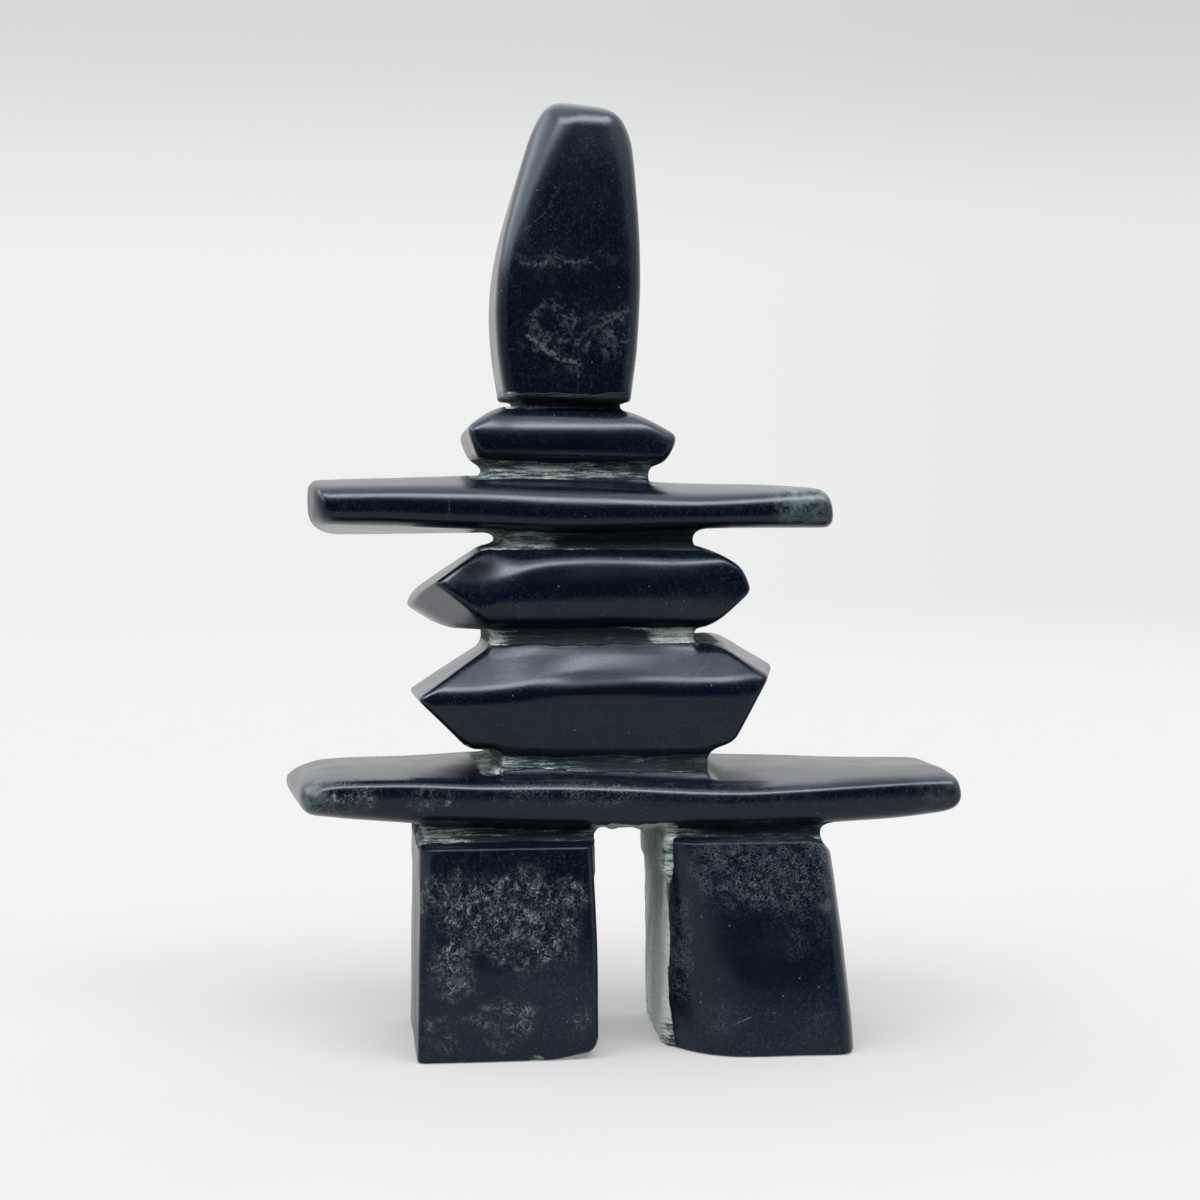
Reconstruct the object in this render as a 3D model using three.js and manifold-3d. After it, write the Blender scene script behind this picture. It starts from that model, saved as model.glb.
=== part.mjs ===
// Inuksuk cairn, carved from one block of dark serpentine.
//
// Eight "stones" (head, small stone, arms slab, two wedge-ended stones, lintel
// and two legs) are parted only by saw and file grooves. Each groove stops
// short and leaves a neck of stone, so the whole figure is one solid.
//
// Millimetres. +X to the viewer's right, -Y is the front, +Z up. The feet
// stand on Z = 0 and the origin is under the middle of the figure.
import * as THREE from 'three';
import { mergeVertices } from 'three/addons/utils/BufferGeometryUtils.js';
import Module from 'manifold-3d';

// ---- driving dimensions -------------------------------------------------
// Overall about 183 wide, 61 deep and 252 high; the tables below set each stone.
const NECK_ROOT = 5;              // how far a neck is rooted in the stones it joins
const GROOVE_ROOT_RADIUS = 1.3;   // round file that finished the ends of each groove
const NECK_CORNER_RADIUS = 1.2;   // vertical corners of the necks
const STONE_COLOUR = 0x1b2327;    // polished blue-black serpentine
const STONE_ROUGHNESS = 0.32;

// ---- the stones -----------------------------------------------------------
// A stone is a convex section swept along X (slabs) or Z (head and legs).
// 'stations' are positions along the sweep, and each corner of the section has
// two lists, one value per station: Y and Z for a sweep along X, X and Y for a
// sweep along Z. 'facets' are further flat cuts: a normal, then a point on the
// cut. 'round' is the width over which two neighbouring faces blend, and
// 'blend' how softly the corners run from one station to the next.
// 'core' is a small box well inside the stone, 'hull' a box round it, and
// 'grid' how many faces the stone's skin has along X, Y and Z. 'ridges' are the
// heights of the wedge edges at a slab's left and right ends. A 'column' runs
// from the floor of its hull to the roof, with both ends cut flat.
const STONES = [
  { name: 'head', along: 'z', blend: 3, round: 3.2,
    core: [[-21, -14], [-8, 8], [188, 234]], hull: [[-38, 4], [-24, 24], [172, 254]], grid: [8, 8, 15],
    stations: [168, 176, 186, 196, 206, 216, 226, 236, 244, 250, 256],
    corners: [
      [[-29.2, -30.6, -32, -32.6, -32, -30.2, -27.4, -23.8, -20.4, -17.2, -13.6],
       [-20.5, -21.5, -22.6, -23.2, -23.2, -22.6, -21.4, -19.6, -17.6, -15.8, -13.8]],
      [[-3.2, -2.4, -1.2, -0.6, -0.5, -1.2, -2.6, -4.4, -6.4, -8.4, -10.8],
       [-20.5, -21.5, -22.6, -23, -23, -22.4, -21.2, -19.4, -17.4, -15.6, -13.6]],
      [[-0.9, 0.2, 1.6, 2.2, 2.4, 2.1, 1.5, 0.6, -0.6, -2.2, -4.6],
       [-16.5, -17.5, -18.6, -19, -19, -18.2, -16.6, -14.4, -12.2, -10.6, -9]],
      [[-0.5, 0.8, 2.2, 2.8, 3, 2.7, 2, 1, -0.4, -2, -4.4],
       [16, 17, 18, 18.6, 18.4, 17.6, 16, 14, 12, 10.4, 9]],
      [[-4, -3.2, -2.2, -1.8, -1.8, -2.4, -3.6, -5.2, -7.2, -9, -11.3],
       [20.5, 21.5, 22.6, 23.2, 23, 22.2, 20.8, 19, 17, 15.4, 13.6]],
      [[-28.6, -30.2, -31.4, -31.8, -31.4, -29.6, -27, -23.6, -20.6, -17.6, -14],
       [20.5, 21.5, 22.6, 23.2, 23, 22.2, 20.8, 19, 17, 15.4, 13.6]],
      [[-32.2, -34, -35.5, -36.1, -35.6, -33.8, -31.2, -28.2, -25.6, -23.2, -20.2],
       [16, 17, 18, 18.6, 18.4, 17.6, 16, 14, 12.4, 11, 9.6]],
      [[-32.6, -34.4, -35.8, -36.5, -36.1, -34.3, -31.8, -28.9, -26.3, -23.8, -20.8],
       [-16, -17, -18, -18.4, -18.2, -17.4, -15.8, -13.4, -11.4, -10, -8.6]],
    ],
    facets: [
      [0.03, 0, 1, -18, 0, 252.1],
      [0.3, 0, 0.954, -10, 0, 251.9],
      [0, -0.6, 0.8, -14, -13, 250.8],
      [0, 0.58, 0.81, -14, 13, 250.8],
      [-0.78, 0, 0.62, -22.4, 0, 251.2],
      [0.8, -0.1, 0.6, -3.4, 0, 249.6],
      [-0.03, 0, -1, -17, 0, 173.5],
    ] },
  { name: 'small_stone', along: 'x', blend: 2, round: 2.4,
    core: [[-34, 0], [-11, 11], [164.4, 164.6]], hull: [[-46, 14], [-24, 24], [156, 173]], grid: [14, 8, 4],
    stations: [-50, -43, -36, -20, -6, 2, 10, 16],
    corners: [
      [[-22.6, -22.8, -23.2, -23.4, -23.2, -22.6, -21.4, -20],
       [165.4, 165.8, 166, 166, 166.2, 166.6, 163.6, 162]],
      [[-13, -13, -13, -13, -13, -13, -13, -13],
       [171.6, 172, 172.2, 172, 171.2, 170.6, 169.6, 169]],
      [[13, 13, 13, 13, 13, 13, 13, 13],
       [171.8, 172.2, 172.4, 172.2, 171.6, 171, 170, 169.4]],
      [[22, 22.4, 23, 23.2, 23, 22.4, 21, 20],
       [165, 165.4, 165.6, 165.8, 165.8, 165.4, 164, 163]],
      [[21, 21, 21.4, 21.6, 21.4, 21, 20, 19],
       [157, 157, 157, 157, 156.8, 156.8, 156.8, 156.8]],
      [[-21.6, -21.6, -22, -22.2, -22, -21.4, -20.6, -19.6],
       [157.4, 157.2, 157, 156.7, 156.5, 156.4, 156.4, 156.4]],
    ],
    facets: [
      [-0.584, 0.03, 0.812, -40.2, 0, 168.5],
      [-0.93, 0, -0.36, -43.7, 0, 163.2],
      [0.5, 0, 0.866, 4.7, 0, 168.2],
      [0.9, 0, -0.44, 11, 0, 161.6],
    ] },
  { name: 'arms', along: 'x', blend: 3, round: 3.2,
    core: [[-77, 44], [-18, 16], [145.8, 146.2]], hull: [[-88, 55], [-30, 30], [136, 155]], grid: [24, 8, 4],
    stations: [-92, -84, -63, -40, -20, 0, 16, 30, 42, 54, 60],
    corners: [
      [[-26.6, -27.2, -27.8, -28, -28, -28, -27.8, -27.4, -27, -26.6, -26],
       [150.3, 150.4, 150.5, 149.9, 149, 148.4, 148.1, 149.2, 150.6, 151, 151]],
      [[-17, -17, -17, -17, -17, -17, -18, -19, -20, -21, -22],
       [152.3, 152.6, 153.2, 153.8, 153.5, 152.4, 151.2, 150.9, 151.2, 151.2, 151]],
      [[21, 21, 21, 21, 21, 21, 21, 21, 21, 21, 21],
       [151.6, 152, 152.6, 153.2, 153.2, 152.6, 151.8, 151.5, 151.4, 151.1, 150.9]],
      [[28.4, 28.4, 28.4, 28.4, 28.4, 28.4, 28.4, 28.4, 28.4, 28.4, 28.4],
       [146.5, 146.6, 146.8, 147, 147, 147, 147, 147, 147, 147, 147]],
      [[24.5, 24.5, 24.5, 24.5, 24.5, 24.5, 24.5, 24.5, 24.5, 24.5, 24.5],
       [137.3, 137.2, 137.3, 137.7, 138.3, 138.8, 138.9, 139.1, 139.2, 139.2, 139.2]],
      [[-26.4, -26.4, -26.4, -26.4, -26.4, -26.4, -26.4, -26.4, -26.4, -26.4, -26.4],
       [141.2, 141, 140.5, 139.4, 138.6, 138.9, 139.4, 139.6, 139.7, 139.7, 139.7]],
      [[-28.6, -29, -29.4, -29.6, -29.6, -29.6, -29.4, -29.2, -29, -28.6, -28.2],
       [145, 145, 144.6, 144.2, 143.8, 143.8, 143.8, 144, 144.4, 144.8, 144.8]],
    ],
    facets: [
      [-0.9975, -0.05, -0.04, -85.1, 0, 146],
      [-0.62, 0, -0.785, -83.6, 0, 138.8],
      [0.99, -0.03, 0.12, 53, 0, 145],
      [0.72, 0, 0.69, 51, 0, 150.2],
    ] },
  { name: 'upper_diamond', along: 'x', blend: 3.2, round: 2.4,
    core: [[-44, 18], [-15, 15], [122.9, 123.1]], hull: [[-60, 33], [-30, 30], [111, 135]], grid: [20, 8, 6],
    ridges: [119.4, 124.2],
    stations: [-62, -56, -50, -42, -34, -26, -16, -4, 8, 16, 22, 30, 36],
    corners: [
      [[-28.4, -28.4, -28.2, -28, -27.8, -27.4, -27.2, -27.2, -27.4, -27.6, -27.6, -27, -26],
       [120.6, 121.8, 123.6, 126.6, 129.8, 131.8, 132.6, 132.4, 131.6, 131.4, 131.6, 130.4, 128]],
      [[-18.5, -18.5, -18.5, -18.5, -18.5, -18.5, -18.5, -18.5, -18.5, -18.5, -18.5, -18.5, -18.5],
       [134.4, 134.4, 134.4, 134.4, 134.4, 134.4, 134.4, 134.4, 134.4, 134.4, 134.4, 134.4, 134.4]],
      [[20, 20, 20, 20, 20, 20, 20, 20, 20, 20, 20, 20, 20],
       [134.4, 134.4, 134.4, 134.4, 134.4, 134.4, 134.4, 134.4, 134.4, 134.4, 134.4, 134.4, 134.4]],
      [[28, 28, 28, 28, 28, 28, 28, 28, 28, 28, 28, 28, 28],
       [124, 124, 124, 124, 124.4, 125, 125.5, 126, 126, 126, 126, 125, 124]],
      [[23, 23, 23, 23, 23, 23, 23, 23, 23, 23, 23, 23, 23],
       [111.9, 111.9, 111.9, 111.9, 111.9, 111.9, 111.9, 111.9, 111.9, 111.9, 111.9, 111.9, 111.9]],
      [[-23.4, -23.4, -23.4, -23.4, -23.4, -23.4, -23.4, -23.4, -23.4, -23.4, -23.4, -23.4, -23.4],
       [112.8, 112.8, 112.8, 112.9, 112.9, 112.9, 112.9, 112.9, 112.9, 112.9, 113.2, 113.6, 113.6]],
      [[-29.2, -29.2, -29.2, -29.2, -29.4, -29.5, -29.6, -29.6, -29.4, -29, -28.4, -27.6, -26.6],
       [120.4, 121.2, 121.3, 121.2, 121.3, 121.4, 121.6, 121.9, 122.8, 123.8, 124.4, 124.2, 124]],
    ],
    facets: [
      [-0.565, 0.02, 0.825, -48.3, 0, 128.3],
      [-0.91, 0, 0.42, -57.2, 0, 121],
      [-0.53, -0.03, -0.848, -52.6, 0, 114.7],
      [-0.6, -0.3, -0.742, -43.8, -26.2, 118],
      [0.56, 0, 0.828, 23.2, 0, 132.4],
      [0.94, 0, 0.34, 29.8, 0, 124.6],
      [0.69, 0, -0.724, 26.2, 0, 118.8],
      [0.42, 0, -0.907, 20.4, 0, 113.3],
    ] },
  { name: 'lower_diamond', along: 'x', blend: 3.2, round: 2.2,
    core: [[-42, 24], [-16, 16], [94.9, 95.1]], hull: [[-60, 43], [-31, 31], [79, 111]], grid: [20, 8, 6],
    ridges: [95.6, 99.8],
    stations: [-62, -56, -50, -42, -34, -28, -20, -10, 2, 14, 26, 34, 44, 50],
    corners: [
      [[-29.2, -29.2, -29.2, -29.2, -29.2, -29.4, -29.6, -29.6, -29.4, -29.2, -28.8, -28.2, -27.2, -26],
       [96.2, 96.6, 97.2, 97.6, 98.6, 99.6, 99.8, 99.4, 98.9, 98.8, 99.6, 100.4, 101, 101]],
      [[-21, -21, -21, -21, -21.4, -21.8, -21.6, -21, -20.6, -20.4, -20.6, -21, -21, -21],
       [109.6, 109.6, 109.6, 109.6, 109.7, 109.8, 109.6, 109.2, 108.9, 108.8, 109, 109.4, 109.6, 109.6]],
      [[21, 21, 21, 21, 21, 21, 21, 21, 21, 21, 21, 21, 21, 21],
       [109, 109, 109, 109, 109, 109, 109, 109, 109, 109.4, 109.8, 110, 110, 110]],
      [[29, 29, 29, 29, 29, 29, 29, 29, 29, 29, 29, 29, 29, 29],
       [96.5, 96.5, 97, 97.4, 97.8, 98, 98, 98, 98, 98, 98.5, 99, 99.4, 99.4]],
      [[23, 23, 23, 23, 23, 23, 23, 23, 23, 23, 23, 23, 23, 23],
       [80, 80, 80, 80, 80, 80, 80, 80, 80, 80, 80, 80, 80, 80]],
      [[-23.6, -23.6, -23.6, -23.6, -23.6, -23.6, -23.6, -23.6, -23.6, -23.6, -23.6, -23.6, -23.6, -23.6],
       [82.2, 82.2, 82, 81.6, 81.2, 80.9, 80.7, 80.6, 80.5, 80.5, 80.9, 81.7, 82.6, 82.6]],
    ],
    facets: [
      [-0.56, 0.03, 0.828, -48.2, 0, 101.1],
      [-0.7, -0.02, -0.714, -51.8, 0, 88.4],
      [0.53, -0.1, 0.842, 29.8, -24, 103.8],
      [0.862, -0.19, -0.466, 28.8, -26, 88.8],
      [0.42, 0, -0.907, 22.9, -26, 81.2],
      [0.985, -0.17, 0, 38.8, -26, 99.8],
    ] },
  { name: 'lintel', along: 'x', blend: 4, round: 3,
    core: [[-80, 74], [-18, 16], [68.2, 68.8]], hull: [[-93, 91], [-32, 32], [59, 78]], grid: [28, 8, 4],
    stations: [-96, -86, -76, -58, -40, -20, 0, 16, 30, 48, 70, 82, 92],
    corners: [
      [[-27.2, -28.4, -29, -29.4, -29.6, -29.6, -29.6, -29.6, -29.4, -29, -28.4, -27.8, -27],
       [74.2, 74.7, 75.4, 75.2, 73.9, 73.9, 72.9, 71.7, 71.3, 72.4, 73.5, 74, 73.6]],
      [[-23, -23, -23, -22, -22, -22, -22, -22, -22, -22, -23, -23.4, -23.8],
       [75, 75.6, 76.2, 76.2, 75.6, 75.4, 74.6, 73.6, 73.2, 73.8, 74.6, 74.9, 74.6]],
      [[26, 26, 26, 26, 26, 26, 26, 26, 26, 26, 26, 26, 26],
       [73.6, 74.6, 75.2, 75.6, 76.7, 77.2, 76.6, 75.8, 75.2, 74.4, 73.5, 73.3, 73]],
      [[29.6, 29.6, 29.6, 29.6, 29.6, 29.6, 29.6, 29.6, 29.6, 29.6, 29.6, 29.6, 29.6],
       [70, 70, 70, 70, 70, 70, 70, 70, 70, 70, 70, 70, 70]],
      [[25, 25, 25, 25, 25, 25, 25, 25, 25, 25, 25, 25, 25],
       [64.4, 63.6, 62.8, 61.6, 61, 60.6, 60.4, 60.4, 60.6, 61, 62.2, 63.8, 65.2]],
      [[-26, -26, -26, -26, -26, -26, -26, -26, -26, -26, -26, -26, -26],
       [65.6, 64.9, 63.8, 62.2, 61.3, 60.5, 60.1, 60.1, 60.1, 60.4, 61.4, 62.8, 64.2]],
      [[-29.6, -30, -30.4, -30.6, -30.8, -30.8, -30.8, -30.8, -30.6, -30.4, -30, -29.6, -29],
       [69, 69, 68.8, 68.4, 67.8, 67.4, 67, 66.8, 66.6, 66.8, 67.6, 68.2, 68.6]],
    ],
    facets: [
      [-0.985, -0.1, 0.14, -91.2, 0, 71],
      [-0.55, 0, 0.835, -86.8, 0, 74.6],
      [-0.6, -0.62, 0.5, -85.6, -27, 72.6],
      [-0.78, -0.05, -0.62, -89.8, 0, 65.6],
      [0.98, -0.06, 0.18, 87.8, -20, 69.5],
      [0.5, 0, 0.866, 85, 0, 74.6],
      [0.7, 0, -0.714, 87.4, 0, 64],
    ] },
  { name: 'left_leg', along: 'z', blend: 3, round: 2,
    core: [[-40, -32], [-8, 8], [24, 32]], hull: [[-61, -9], [-30, 30], [0, 56.4]], grid: [9, 9, 7],
    column: true,
    stations: [-6, 0, 10, 22, 35, 48, 58, 66],
    corners: [
      [[-59.6, -59.5, -59.3, -59.1, -58.9, -58.6, -58.4, -58.2],
       [-28.6, -28.6, -28.8, -28.9, -28.9, -28.7, -28.4, -28.2]],
      [[-10.5, -10.5, -10.5, -10.7, -10.9, -11.6, -12.1, -12.3],
       [-28.8, -28.8, -29, -29, -28.9, -28.6, -28.2, -28]],
      [[-10.4, -10.4, -10.6, -11, -11.4, -11.8, -12, -12.1],
       [28.6, 28.6, 28.6, 28.4, 28.2, 28, 27.8, 27.6]],
      [[-57.9, -57.9, -57.9, -57.8, -57.6, -57.4, -57.2, -57.1],
       [28.8, 28.8, 28.8, 28.6, 28.4, 28.2, 28, 28]],
    ],
    facets: [
      [0.77, -0.61, -0.17, -18.6, -17.8, 0],
      [-0.7, -0.7, 0.1, -58.8, -28, 28],
      [-0.7, 0.7, 0, -57.5, 27.2, 28],
      [0.7, 0.7, 0, -12.3, 27, 28],
    ] },
  { name: 'right_leg', along: 'z', blend: 3, round: 2,
    core: [[26, 38], [-8, 8], [24, 32]], hull: [[7, 60], [-34, 31], [0, 56.6]], grid: [9, 9, 7],
    column: true,
    stations: [-6, 0, 10, 22, 35, 48, 58, 66],
    corners: [
      [[16, 16, 15.6, 15.4, 14.2, 11.2, 8.6, 7.6],
       [-31.4, -31.2, -30.6, -30, -29.4, -28.6, -28, -27.6]],
      [[56, 55.8, 55.2, 53.7, 52.2, 50.6, 48.8, 47.8],
       [-32.4, -32.2, -31.4, -30.4, -29.4, -28.4, -27.8, -27.4]],
      [[59.2, 59, 58.2, 56.9, 55.4, 53.6, 52, 51.2],
       [-26.4, -26.2, -25.8, -25, -24.4, -23.8, -23.4, -23]],
      [[58, 58, 57.4, 56.6, 55.2, 53.6, 52, 51.2],
       [25.5, 25.5, 25.5, 25.2, 25, 24.8, 24.6, 24.4]],
      [[54, 54, 53.6, 52.8, 51.6, 49.8, 48, 47],
       [29.4, 29.4, 29.2, 29, 28.6, 28.2, 28, 27.8]],
      [[12.2, 12.2, 12, 11.6, 11.2, 10.4, 9.6, 9.2],
       [29, 29, 29, 28.8, 28.6, 28.4, 28.2, 28]],
      [[9.8, 9.7, 9.4, 9, 8.9, 8.4, 7.8, 7.4],
       [26.5, 26.5, 26.5, 26.4, 26.2, 26, 25.8, 25.6]],
      [[8.6, 8.6, 8.6, 8.7, 9, 8.9, 8, 7],
       [-13, -13.5, -16, -18.5, -20.5, -22.5, -24.5, -25.5]],
    ],
    facets: [
      [0.5, 0.02, 0.866, 50.2, 0, 54.4],
    ] },
];

// ---- the necks -----------------------------------------------------------
// Stone left standing between two grooves: its X and Y range, and the heights
// of the floor and roof of the open groove.
const NECKS = [
  { name: 'neck_1', x: [-29.8, -3.4], y: [-18.6, 18.4], groove: [171.6, 173.8] },
  { name: 'neck_2', x: [-38.2, 3.8], y: [-18.6, 18.6], groove: [153.2, 157] },
  { name: 'neck_3', x: [-34.2, 15.4], y: [-21.4, 21], groove: [134.4, 138.6] },
  { name: 'neck_4', x: [-38, 15.6], y: [-21.4, 21], groove: [109.6, 112.4] },
  { name: 'neck_5', x: [-35.4, 19.4], y: [-22, 21.6], groove: [75.6, 80.4] },
  { name: 'neck_left_leg', x: [-55.8, -11.8], y: [-22.6, 22.4], groove: [56.4, 61.4] },
  { name: 'neck_right_leg', x: [8.2, 49.6], y: [-22.6, 22.4], groove: [56.6, 61.2] },
];

// ---- shape of one stone -----------------------------------------------------
// A list of values at the stations, softened along the sweep and kept as a
// fine table.
const TABLE_STEP = 0.5;
const TABLE_MARGIN = 30;
function softened(stations, values, blend) {
  const first = stations[0] - TABLE_MARGIN;
  const count = Math.round((stations[stations.length - 1] + TABLE_MARGIN - first) / TABLE_STEP) + 1;
  const raw = new Float64Array(count);
  for (let i = 0; i < count; i++) {
    const t = first + i * TABLE_STEP;
    let k = 0;
    while (k < stations.length - 2 && t > stations[k + 1]) k++;
    const u = THREE.MathUtils.clamp((t - stations[k]) / (stations[k + 1] - stations[k]), 0, 1);
    raw[i] = values[k] + (values[k + 1] - values[k]) * u;
  }
  const reach = Math.floor(4 * blend / TABLE_STEP) + 1;
  const table = new Float64Array(count);
  for (let i = 0; i < count; i++) {
    let sum = 0, weight = 0;
    for (let m = -reach; m <= reach; m++) {
      const w = Math.exp(-0.5 * (m * TABLE_STEP / blend) ** 2);
      sum += w * raw[THREE.MathUtils.clamp(i + m, 0, count - 1)];
      weight += w;
    }
    table[i] = sum / weight;
  }
  return (t) => {
    const p = THREE.MathUtils.clamp((t - first) / TABLE_STEP, 0, count - 1.000001);
    const k = Math.floor(p);
    return table[k] + (table[k + 1] - table[k]) * (p - k);
  };
}

// The larger of two distances, with a rounded corner 'round' wide where they meet.
function roundedMax(a, b, round) {
  const h = Math.max(round - Math.abs(a - b), 0) / round;
  return Math.max(a, b) + h * h * round * 0.25;
}

// Signed depth of a point in a stone: negative inside, zero on its skin.
function stoneField(stone) {
  const corners = stone.corners.map(([a, b]) => [softened(stone.stations, a, stone.blend), softened(stone.stations, b, stone.blend)]);
  const middle = (stone.stations[0] + stone.stations[stone.stations.length - 1]) / 2;
  let area = 0;
  corners.forEach(([a, b], i) => {
    const [c, d] = corners[(i + 1) % corners.length];
    area += a(middle) * d(middle) - c(middle) * b(middle);
  });
  const turn = Math.sign(area);
  const facets = stone.facets.map(([nx, ny, nz, px, py, pz]) => {
    const normal = new THREE.Vector3(nx, ny, nz).normalize();
    return { normal, offset: normal.dot(new THREE.Vector3(px, py, pz)) };
  });
  return (p) => {
    const [t, u, v] = stone.along === 'x' ? [p.x, p.y, p.z] : [p.z, p.x, p.y];
    const points = corners.map(([a, b]) => [a(t), b(t)]);
    let depth = -Infinity;
    points.forEach(([a, b], i) => {
      const [c, d] = points[(i + 1) % points.length];
      const length = Math.hypot(c - a, d - b) + 1e-9;
      const side = turn * ((u - a) * (d - b) - (v - b) * (c - a)) / length;
      depth = depth === -Infinity ? side : roundedMax(depth, side, stone.round);
    });
    for (const facet of facets) depth = roundedMax(depth, facet.normal.dot(p) - facet.offset, stone.round);
    return depth;
  };
}

// The stone's skin: the surface of its hull box, drawn in along straight lines
// towards the core until it meets the stone. In a slab the hull and core lean
// with the heights of its two end ridges. In a column the lines are level, and
// the ends are flat cuts.
function stoneGeometry(stone) {
  const field = stoneField(stone);
  const [hx, hy, hz] = stone.hull;
  const box = new THREE.BoxGeometry(hx[1] - hx[0], hy[1] - hy[0], hz[1] - hz[0], ...stone.grid);
  box.translate((hx[0] + hx[1]) / 2, (hy[0] + hy[1]) / 2, (hz[0] + hz[1]) / 2);
  box.deleteAttribute('normal');
  box.deleteAttribute('uv');
  const skin = mergeVertices(box, 1e-4);
  const position = skin.getAttribute('position');
  const centre = new THREE.Vector3((hx[0] + hx[1]) / 2, (hy[0] + hy[1]) / 2, (hz[0] + hz[1]) / 2);
  const outer = new THREE.Vector3(), inner = new THREE.Vector3(), p = new THREE.Vector3();
  for (let i = 0; i < position.count; i++) {
    outer.fromBufferAttribute(position, i);
    let share = 1;
    if (stone.column) {
      // a vertex inside the top or sole keeps its share of the way out
      const u = (outer.x - centre.x) / (hx[1] - hx[0]) * 2, v = (outer.y - centre.y) / (hy[1] - hy[0]) * 2;
      share = Math.max(Math.abs(u), Math.abs(v));
      inner.set(centre.x, centre.y, outer.z);
      if (share > 0) outer.set(centre.x + (outer.x - centre.x) / share, centre.y + (outer.y - centre.y) / share, outer.z);
    } else {
      inner.set(
        THREE.MathUtils.clamp(outer.x, ...stone.core[0]),
        THREE.MathUtils.clamp(outer.y, ...stone.core[1]),
        THREE.MathUtils.clamp(outer.z, ...stone.core[2]));
      if (stone.ridges) {
        const lean = THREE.MathUtils.mapLinear(outer.x, hx[0], hx[1], stone.ridges[0], stone.ridges[1]) - centre.z;
        outer.z += lean;
        inner.z += lean;
      }
    }
    let low = 0, high = 1.6;
    for (let step = 0; step < 44; step++) {
      const mid = (low + high) / 2;
      p.lerpVectors(inner, outer, mid);
      if (field(p) < 0) low = mid; else high = mid;
    }
    p.lerpVectors(inner, outer, share * (low + high) / 2);
    position.setXYZ(i, p.x, p.y, p.z);
  }
  return skin;
}

// ---- shape of one neck ------------------------------------------------------
// An upright block with rounded vertical corners. It flares where it runs into
// the stones above and below, as the round file left it.
function neckGeometry(neck) {
  const width = neck.x[1] - neck.x[0], depth = neck.y[1] - neck.y[0];
  const bottom = neck.groove[0] - NECK_ROOT, top = neck.groove[1] + NECK_ROOT;
  const r = NECK_CORNER_RADIUS;
  const outline = new THREE.Shape();
  outline.moveTo(-width / 2 + r, -depth / 2);
  outline.lineTo(width / 2 - r, -depth / 2);
  outline.quadraticCurveTo(width / 2, -depth / 2, width / 2, -depth / 2 + r);
  outline.lineTo(width / 2, depth / 2 - r);
  outline.quadraticCurveTo(width / 2, depth / 2, width / 2 - r, depth / 2);
  outline.lineTo(-width / 2 + r, depth / 2);
  outline.quadraticCurveTo(-width / 2, depth / 2, -width / 2, depth / 2 - r);
  outline.lineTo(-width / 2, -depth / 2 + r);
  outline.quadraticCurveTo(-width / 2, -depth / 2, -width / 2 + r, -depth / 2);
  const solid = new THREE.ExtrudeGeometry(outline, { depth: top - bottom, steps: 6, bevelEnabled: false, curveSegments: 1 });
  solid.deleteAttribute('normal');
  solid.deleteAttribute('uv');
  const skin = mergeVertices(solid, 1e-4);
  const position = skin.getAttribute('position');
  const middle = (neck.groove[0] + neck.groove[1]) / 2, half = (neck.groove[1] - neck.groove[0]) / 2;
  for (let i = 0; i < position.count; i++) {
    // the levels are spread so that most of them fall in the groove
    const u = position.getZ(i) / (top - bottom) * 2 - 1;
    const z = middle + Math.sign(u) * (Math.abs(u) < 0.67 ? Math.abs(u) / 0.67 * half : half + (Math.abs(u) - 0.67) / 0.33 * NECK_ROOT);
    const rise = Math.min(Math.abs(z - middle) / half, 1);
    const flare = GROOVE_ROOT_RADIUS * (1 - Math.sqrt(1 - rise * rise));
    const x = position.getX(i) * (1 + 2 * flare / width), y = position.getY(i) * (1 + 2 * flare / depth);
    position.setXYZ(i, x + (neck.x[0] + neck.x[1]) / 2, y + (neck.y[0] + neck.y[1]) / 2, z);
  }
  return skin;
}

// ---- joining -----------------------------------------------------------------
const wasm = await Module();
wasm.setup();

function toSolid(geometry) {
  return new wasm.Manifold(new wasm.Mesh({
    numProp: 3,
    vertProperties: new Float32Array(geometry.getAttribute('position').array),
    triVerts: new Uint32Array(geometry.index.array),
  }));
}

let carving = null;
for (const geometry of [...STONES.map(stoneGeometry), ...NECKS.map(neckGeometry)]) {
  const solid = toSolid(geometry);
  carving = carving ? carving.add(solid) : solid;
}

const mesh = carving.getMesh();
const geometry = new THREE.BufferGeometry();
geometry.setAttribute('position', new THREE.BufferAttribute(new Float32Array(mesh.vertProperties), 3));
geometry.setIndex(new THREE.BufferAttribute(new Uint32Array(mesh.triVerts), 1));

// The origin lies under the middle of the figure's plan.
geometry.computeBoundingBox();
const middle = geometry.boundingBox.getCenter(new THREE.Vector3());
geometry.translate(-middle.x, -middle.y, 0);
geometry.computeVertexNormals();

const cairn = new THREE.Mesh(geometry, new THREE.MeshStandardMaterial({ color: STONE_COLOUR, roughness: STONE_ROUGHNESS, metalness: 0 }));
cairn.name = 'carved_cairn';

const part = new THREE.Group();
part.name = 'stone_cairn';
part.add(cairn);

export default part;
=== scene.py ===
import math
import time

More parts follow.
